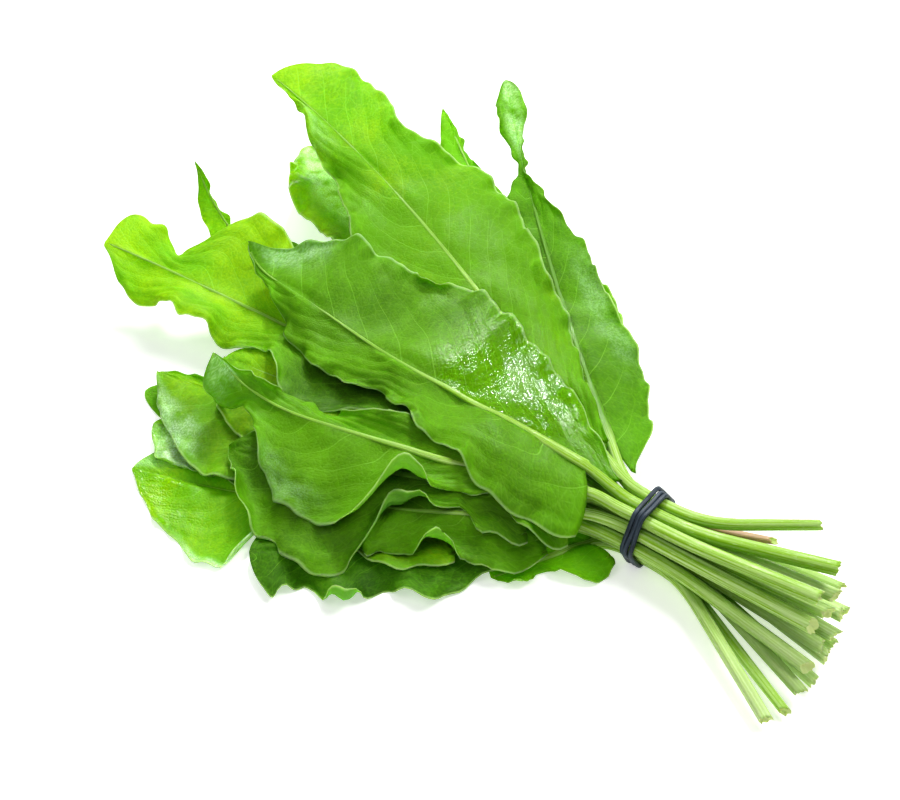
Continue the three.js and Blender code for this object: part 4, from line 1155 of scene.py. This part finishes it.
# %% Colours of the stalks
STEM_GREEN, STEM_PALE, GREENER_STEM = (0.26, 0.49, 0.016), (0.55, 0.75, 0.29), (0.24, 0.48, 0.006)
FLECK, MIDRIB_GREEN, DARK_AND_SHADED_MIDRIB = (0.72, 0.86, 0.50), (0.26, 0.52, 0.06), (0.13, 0.32, 0.02)
WHITISH_END, BLUSH, CUT_COLOUR = (0.76, 0.86, 0.54), (0.56, 0.37, 0.24), (0.58, 0.68, 0.28)


def stem_streaks(r):
    """Noise drawn out along the stalk."""
    return r.noise(r.vector(r.times(r.mark("run"), 0.03), r.times(r.mark("span"), 1.4)), 1.0, 3)


def stem_colour(r, streaks):
    """Streaks of two greens, and coats over them, each with the share in which it covers the last."""
    run, tone = r.mark("run"), r.mark("tone")
    fleck = r.noise(r.vector(r.times(run, 0.4), r.times(r.mark("span"), 2.0)), 1.0, 2)
    kind = r.noise(r.vector(r.times(r.mark("own"), 0.31), 0.5), 1.0, 0)
    coats = [
        (r.times(r.between(kind, 0.40, 0.60), 0.55), GREENER_STEM),
        (r.times(r.between(fleck, 0.55, 0.75), 0.3), FLECK),
        (r.times(r.between(r.mark("along"), 0.15, 0.6), 0.8), MIDRIB_GREEN),
        # Darker leaves get a darker green midrib near the base, partly painted shade in a folded blade's
        # valley.
        (r.times(r.between(run, -6, 10), r.between(tone, -0.1, -0.4)), DARK_AND_SHADED_MIDRIB),
        (r.times(r.between(run, -75, -125), 0.4), WHITISH_END),
        (r.times(r.mark("blush"), r.between(run, -34, -50)), BLUSH),
        (r.between(r.mark("cut"), 0.3, 0.8), CUT_COLOUR),
    ]
    stem = r.mixed(r.between(streaks, 0.36, 0.64), STEM_GREEN, STEM_PALE)
    for share, colour in coats:
        stem = r.mixed(share, stem, colour)
    return stem


print("streaks of the stalks:", STEM_GREEN, "and", STEM_PALE)

# %% [markdown]
# ## Gloss
#
# The waxy skin has a clear gloss, duller below, on the stalks and at the cut. It is broken
# up by cushions between the finest veins and by ridges along the side veins, which are
# lower than the mesh could carry. So they are a bump: the shader tilts the surface for
# the light alone. On the waxiest places the lamps show as small sharp glints.

# %% Gloss and fine relief
CLEAREST, UNDERSIDE_DULLNESS, STALK_DULLNESS, CUT_DULLNESS, WORN_DULLNESS = 0.11, 0.16, 0.06, 0.2, 0.62
BUMP_STRENGTH, BUMP_HEIGHT = 0.34, 0.0003


def skin_roughness(r, skin):
    """The roughness of clear wax, plus what the underside, the stalk, the cut and worn wax add to it."""
    worn = r.minus(1.0, r.times(r.between(r.noise(skin, 0.06, 3), 0.45, 0.65), 0.35))
    worn = r.minus(worn, r.times(r.mark("wax"), 1.2), clamp=True)
    rough = r.plus(r.times(r.mark("under"), UNDERSIDE_DULLNESS), r.times(r.mark("stalk"), STALK_DULLNESS))
    rough = r.plus(rough, r.times(worn, WORN_DULLNESS))
    return r.plus(r.plus(rough, CLEAREST), r.times(r.mark("cut"), CUT_DULLNESS), clamp=True)


def skin_bump(r, skin, side_vein, net, streaks):
    """Cushions in the cells of both nets and ridges along the side veins, sunk at the veins; on the stalk,
    its streaks."""
    along_veins = r.vector(r.times(r.mark("vein"), 8.0), r.times(r.mark("span"), 0.35), r.mark("own"))
    ridges = r.times(r.noise(along_veins, 1.0, 3), 1.5)
    fine = r.times(r.between(r.cells(skin, FINE_NET), 0.0, 0.3), 0.45)
    cushion = r.plus(r.times(r.between(net, 0.0, 0.35), 0.35), r.plus(ridges, fine))
    cushion = r.minus(cushion, r.times(side_vein, 0.4))
    on_blade = r.times(cushion, r.minus(1.0, r.mark("stalk")))
    height = r.plus(on_blade, r.times(r.times(streaks, 1.6), r.mark("stalk")))
    inputs = {"Height": height, "Strength": BUMP_STRENGTH, "Distance": BUMP_HEIGHT}
    return r.node("ShaderNodeBump", inputs).outputs["Normal"]


print("clearest skin has roughness", CLEAREST)

# %% The leaf's material
LIGHT_IN_BLADE, LIGHT_IN_STALK = 0.75, 0.25
SCATTER_COLOUR, SCATTER_REACH = (0.60, 1.0, 0.08), 0.0022
SKIN_GLOSS = 0.2


def sorrel_finish():
    """The whole leaf in one material: blade and stalk are mixed by the mark `stalk`."""
    r = Recipe("sorrel_leaf")
    skin = r.vector(r.mark("run"), r.mark("span"), r.mark("own"))
    side_vein, net, streaks = side_veins(r), r.cells(skin, NET), stem_streaks(r)
    blade = blade_colour(r, skin, side_vein, net)
    r.give("Base Color", r.mixed(r.mark("stalk"), blade, stem_colour(r, streaks)))
    r.give("Roughness", skin_roughness(r, skin))
    r.give("Normal", skin_bump(r, skin, side_vein, net, streaks))
    r.shader.subsurface_method = "BURLEY"
    less = r.times(r.mark("stalk"), LIGHT_IN_BLADE - LIGHT_IN_STALK)
    r.give("Subsurface Weight", r.minus(LIGHT_IN_BLADE, less))
    r.give("Subsurface Radius", SCATTER_COLOUR)
    r.give("Subsurface Scale", SCATTER_REACH)
    r.give("Specular IOR Level", SKIN_GLOSS)
    return r.material


sorrel_leaf = sorrel_finish()
for made in leaf_objects:
    made.data.materials.append(sorrel_leaf)
print("leaf finish:", len(sorrel_leaf.node_tree.nodes), "nodes")

# %% [markdown]
# ## The rubber band
#
# It is one endless band, wound three times. Its line is the tight outline of the
# stalks, as a string pulled round them would lie: arcs on the outermost stalks, straight
# between. Turn by turn it steps along the bunch, and at last it crosses over its own
# turns to close. A small section of rounded rubber is carried along that line.

# %% Line of the band
BAND_TURNS, POINTS_PER_TURN = 3, 200
OUTLINE_STEPS = 1440
FULL_TURN = 2 * np.pi


def outline_round_stalks(offset):
    """The hull of circles of radius offset round the outermost stalks, as points at equal steps, with the
    outward direction at each."""
    outermost = [(row, place) for row, size in enumerate(ROW_SIZES) for place in (0, size - 1)]
    centres = np.array([slot_centre(slot)[1:] for slot in outermost])
    angle = np.linspace(0, FULL_TURN, OUTLINE_STEPS + 1)[:-1] + FULL_TURN / 3
    out = np.stack([np.cos(angle), np.sin(angle)], 1)
    touched = centres[np.argmax(out @ centres.T - 1e-9 * np.arange(len(centres)), axis=1)]
    loop = touched + out * offset
    loop = np.concatenate([loop, loop[:1]])
    length = np.concatenate([[0], np.cumsum(np.linalg.norm(np.diff(loop, axis=0), axis=1))])
    even = np.linspace(0, length[-1], POINTS_PER_TURN + 1)[:-1]
    at = np.stack([np.interp(even, length, loop[:, k]) for k in (0, 1)], 1)
    unwrapped = np.unwrap(np.concatenate([angle, [angle[0] + FULL_TURN]]))
    turned = np.interp(even, length, unwrapped)
    return at, np.stack([np.cos(turned), np.sin(turned)], 1), length[-1]


print("outline round the stalks:", round(outline_round_stalks(STALK_RADIUS)[2], 1), "mm")

# %% The strand
STRAND_STEP, SECTION_POINTS = 1.4, 14
STEP_START, STEP_RUN = 0.55, 0.2  # where in each turn the strand steps over to the next
CROSSING, CROSSING_RUN, CROSSING_RISE = 2.5, 0.4, 0.95  # in turns, and its height
CLOSING, CLOSING_RUN = 2.55, 0.3
HALF_WIDE, HALF_TALL, ROUNDING = 0.66, 0.52, 0.6
SWAYS = ((0.12, 7, 0), (0.08, 17, 1))  # how far it strays sideways, how often, and from where
LOOSENESS, LOOSE_PLACES, TWIST, TWISTS = 0.06, 11, 0.25, 5


def strand_line():
    """Three turns, each a strand's width further on, with a crossing back over the others at the end. Gives
    the centres, the outward directions, the share of the way and the turns so far, and the girth."""
    at, out, girth = outline_round_stalks(STALK_RADIUS + BAND_GAP + STRAND_THICKNESS / 2)
    count = POINTS_PER_TURN * BAND_TURNS
    turn = np.arange(count) / POINTS_PER_TURN
    around = np.arange(count) % POINTS_PER_TURN
    share = turn / BAND_TURNS
    step = np.floor(turn) + smooth((turn % 1 - STEP_START) / STEP_RUN)
    closing = smooth((turn - CLOSING) / CLOSING_RUN)
    x = np.where(turn > CROSSING, STRAND_STEP * (1 - 2 * closing), (step - 1) * STRAND_STEP)
    for size, count_of_waves, start in SWAYS:
        x = x + size * np.sin(FULL_TURN * count_of_waves * share + start)
    over = np.sin(np.clip((turn - CROSSING) / CROSSING_RUN, 0, 1) * np.pi) ** 0.6 * CROSSING_RISE
    rise = over + LOOSENESS * np.sin(FULL_TURN * LOOSE_PLACES * share)
    centre = np.stack([x, at[around, 0] + out[around, 0] * rise, at[around, 1] + out[around, 1] * rise], 1)
    outward = np.stack([np.zeros(count), out[around, 0], out[around, 1]], 1)
    return centre, outward, share, turn, girth


def band_points():
    """Rings of points: a square section rounded by raising its sine and cosine to the power ROUNDING, which
    rolls to and fro a little on its way."""
    centre, outward, share, turn, girth = strand_line()
    theta = np.arange(SECTION_POINTS) / SECTION_POINTS * FULL_TURN
    roll = TWIST * np.sin(FULL_TURN * TWISTS * share)

    def cornered(wave):
        return np.sign(wave) * np.abs(wave) ** ROUNDING

    wide = HALF_WIDE * cornered(np.cos(theta))[None]
    tall = HALF_TALL * cornered(np.sin(theta))[None]
    across = wide * np.cos(roll)[:, None] - tall * np.sin(roll)[:, None]
    height = wide * np.sin(roll)[:, None] + tall * np.cos(roll)[:, None]
    x_axis = np.array([1.0, 0, 0])
    rings = centre[:, None] + x_axis * across[..., None] + outward[:, None] * height[..., None]
    return rings, turn * girth, theta, girth


band_rings, band_run, band_theta, girth = band_points()
band_index = np.arange(band_rings.shape[0] * SECTION_POINTS).reshape(-1, SECTION_POINTS)
band_index = np.concatenate([band_index, band_index[:, :1]], 1)
band_index = np.concatenate([band_index, band_index[:1]], 0)
band_mesh = bpy.data.meshes.new("wound_rubber_band")
band_mesh.from_pydata((band_rings.reshape(-1, 3) * MM).tolist(), [], quads_of(band_index)[:, ::-1].tolist())
band_mesh.shade_smooth()
write_mark(band_mesh, "run", np.repeat(band_run, SECTION_POINTS))
write_mark(band_mesh, "span", np.tile(band_theta, len(band_rings)))
rubber_band = plain_object("wound_rubber_band", band_mesh)
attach(rubber_band, "root")
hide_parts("rubber_band")
print("band: one turn is", round(girth, 1), "mm, all of it", round(girth * BAND_TURNS, 1), "mm")

# %% [markdown]
# ## The band's rubber
#
# Used rubber is dull and a little dusty, and it pales in streaks where it is stretched.
# The streaks follow the strand by its marks. The dust is noise in space, because dust
# settles on the outside without a care for which way the strand runs.

# %% The band's material
DARK_RUBBER, STRETCHED_RUBBER, DUST = (0.014, 0.025, 0.037), (0.050, 0.080, 0.110), (0.12, 0.15, 0.18)
DUST_PER_METRE = 900.0


def rubber_finish():
    """Dark blue-grey rubber: fine dust, streaks where it is stretched, and a dull sheen."""
    r = Recipe("dark_rubber")
    place = r.node("ShaderNodeTexCoord").outputs["Object"]
    along_strand = r.vector(r.times(r.mark("run"), 0.15), r.times(r.mark("span"), 2.2))
    streaks = r.noise(along_strand, 1.0, 3)
    dust = r.noise(place, DUST_PER_METRE, 3)
    colour = r.mixed(r.between(streaks, 0.35, 0.7), DARK_RUBBER, STRETCHED_RUBBER)
    colour = r.mixed(r.times(r.between(dust, 0.55, 0.75), 0.35), colour, DUST)
    r.give("Base Color", colour)
    r.give("Roughness", r.plus(0.42, r.times(dust, 0.25)))
    height = r.plus(streaks, r.times(dust, 0.4))
    bump = r.node("ShaderNodeBump", {"Height": height, "Strength": 0.5, "Distance": 0.0002})
    r.give("Normal", bump.outputs["Normal"])
    return r.material


dark_rubber = rubber_finish()
band_mesh.materials.append(dark_rubber)
print("rubber finish:", len(dark_rubber.node_tree.nodes), "nodes")

# %% [markdown]
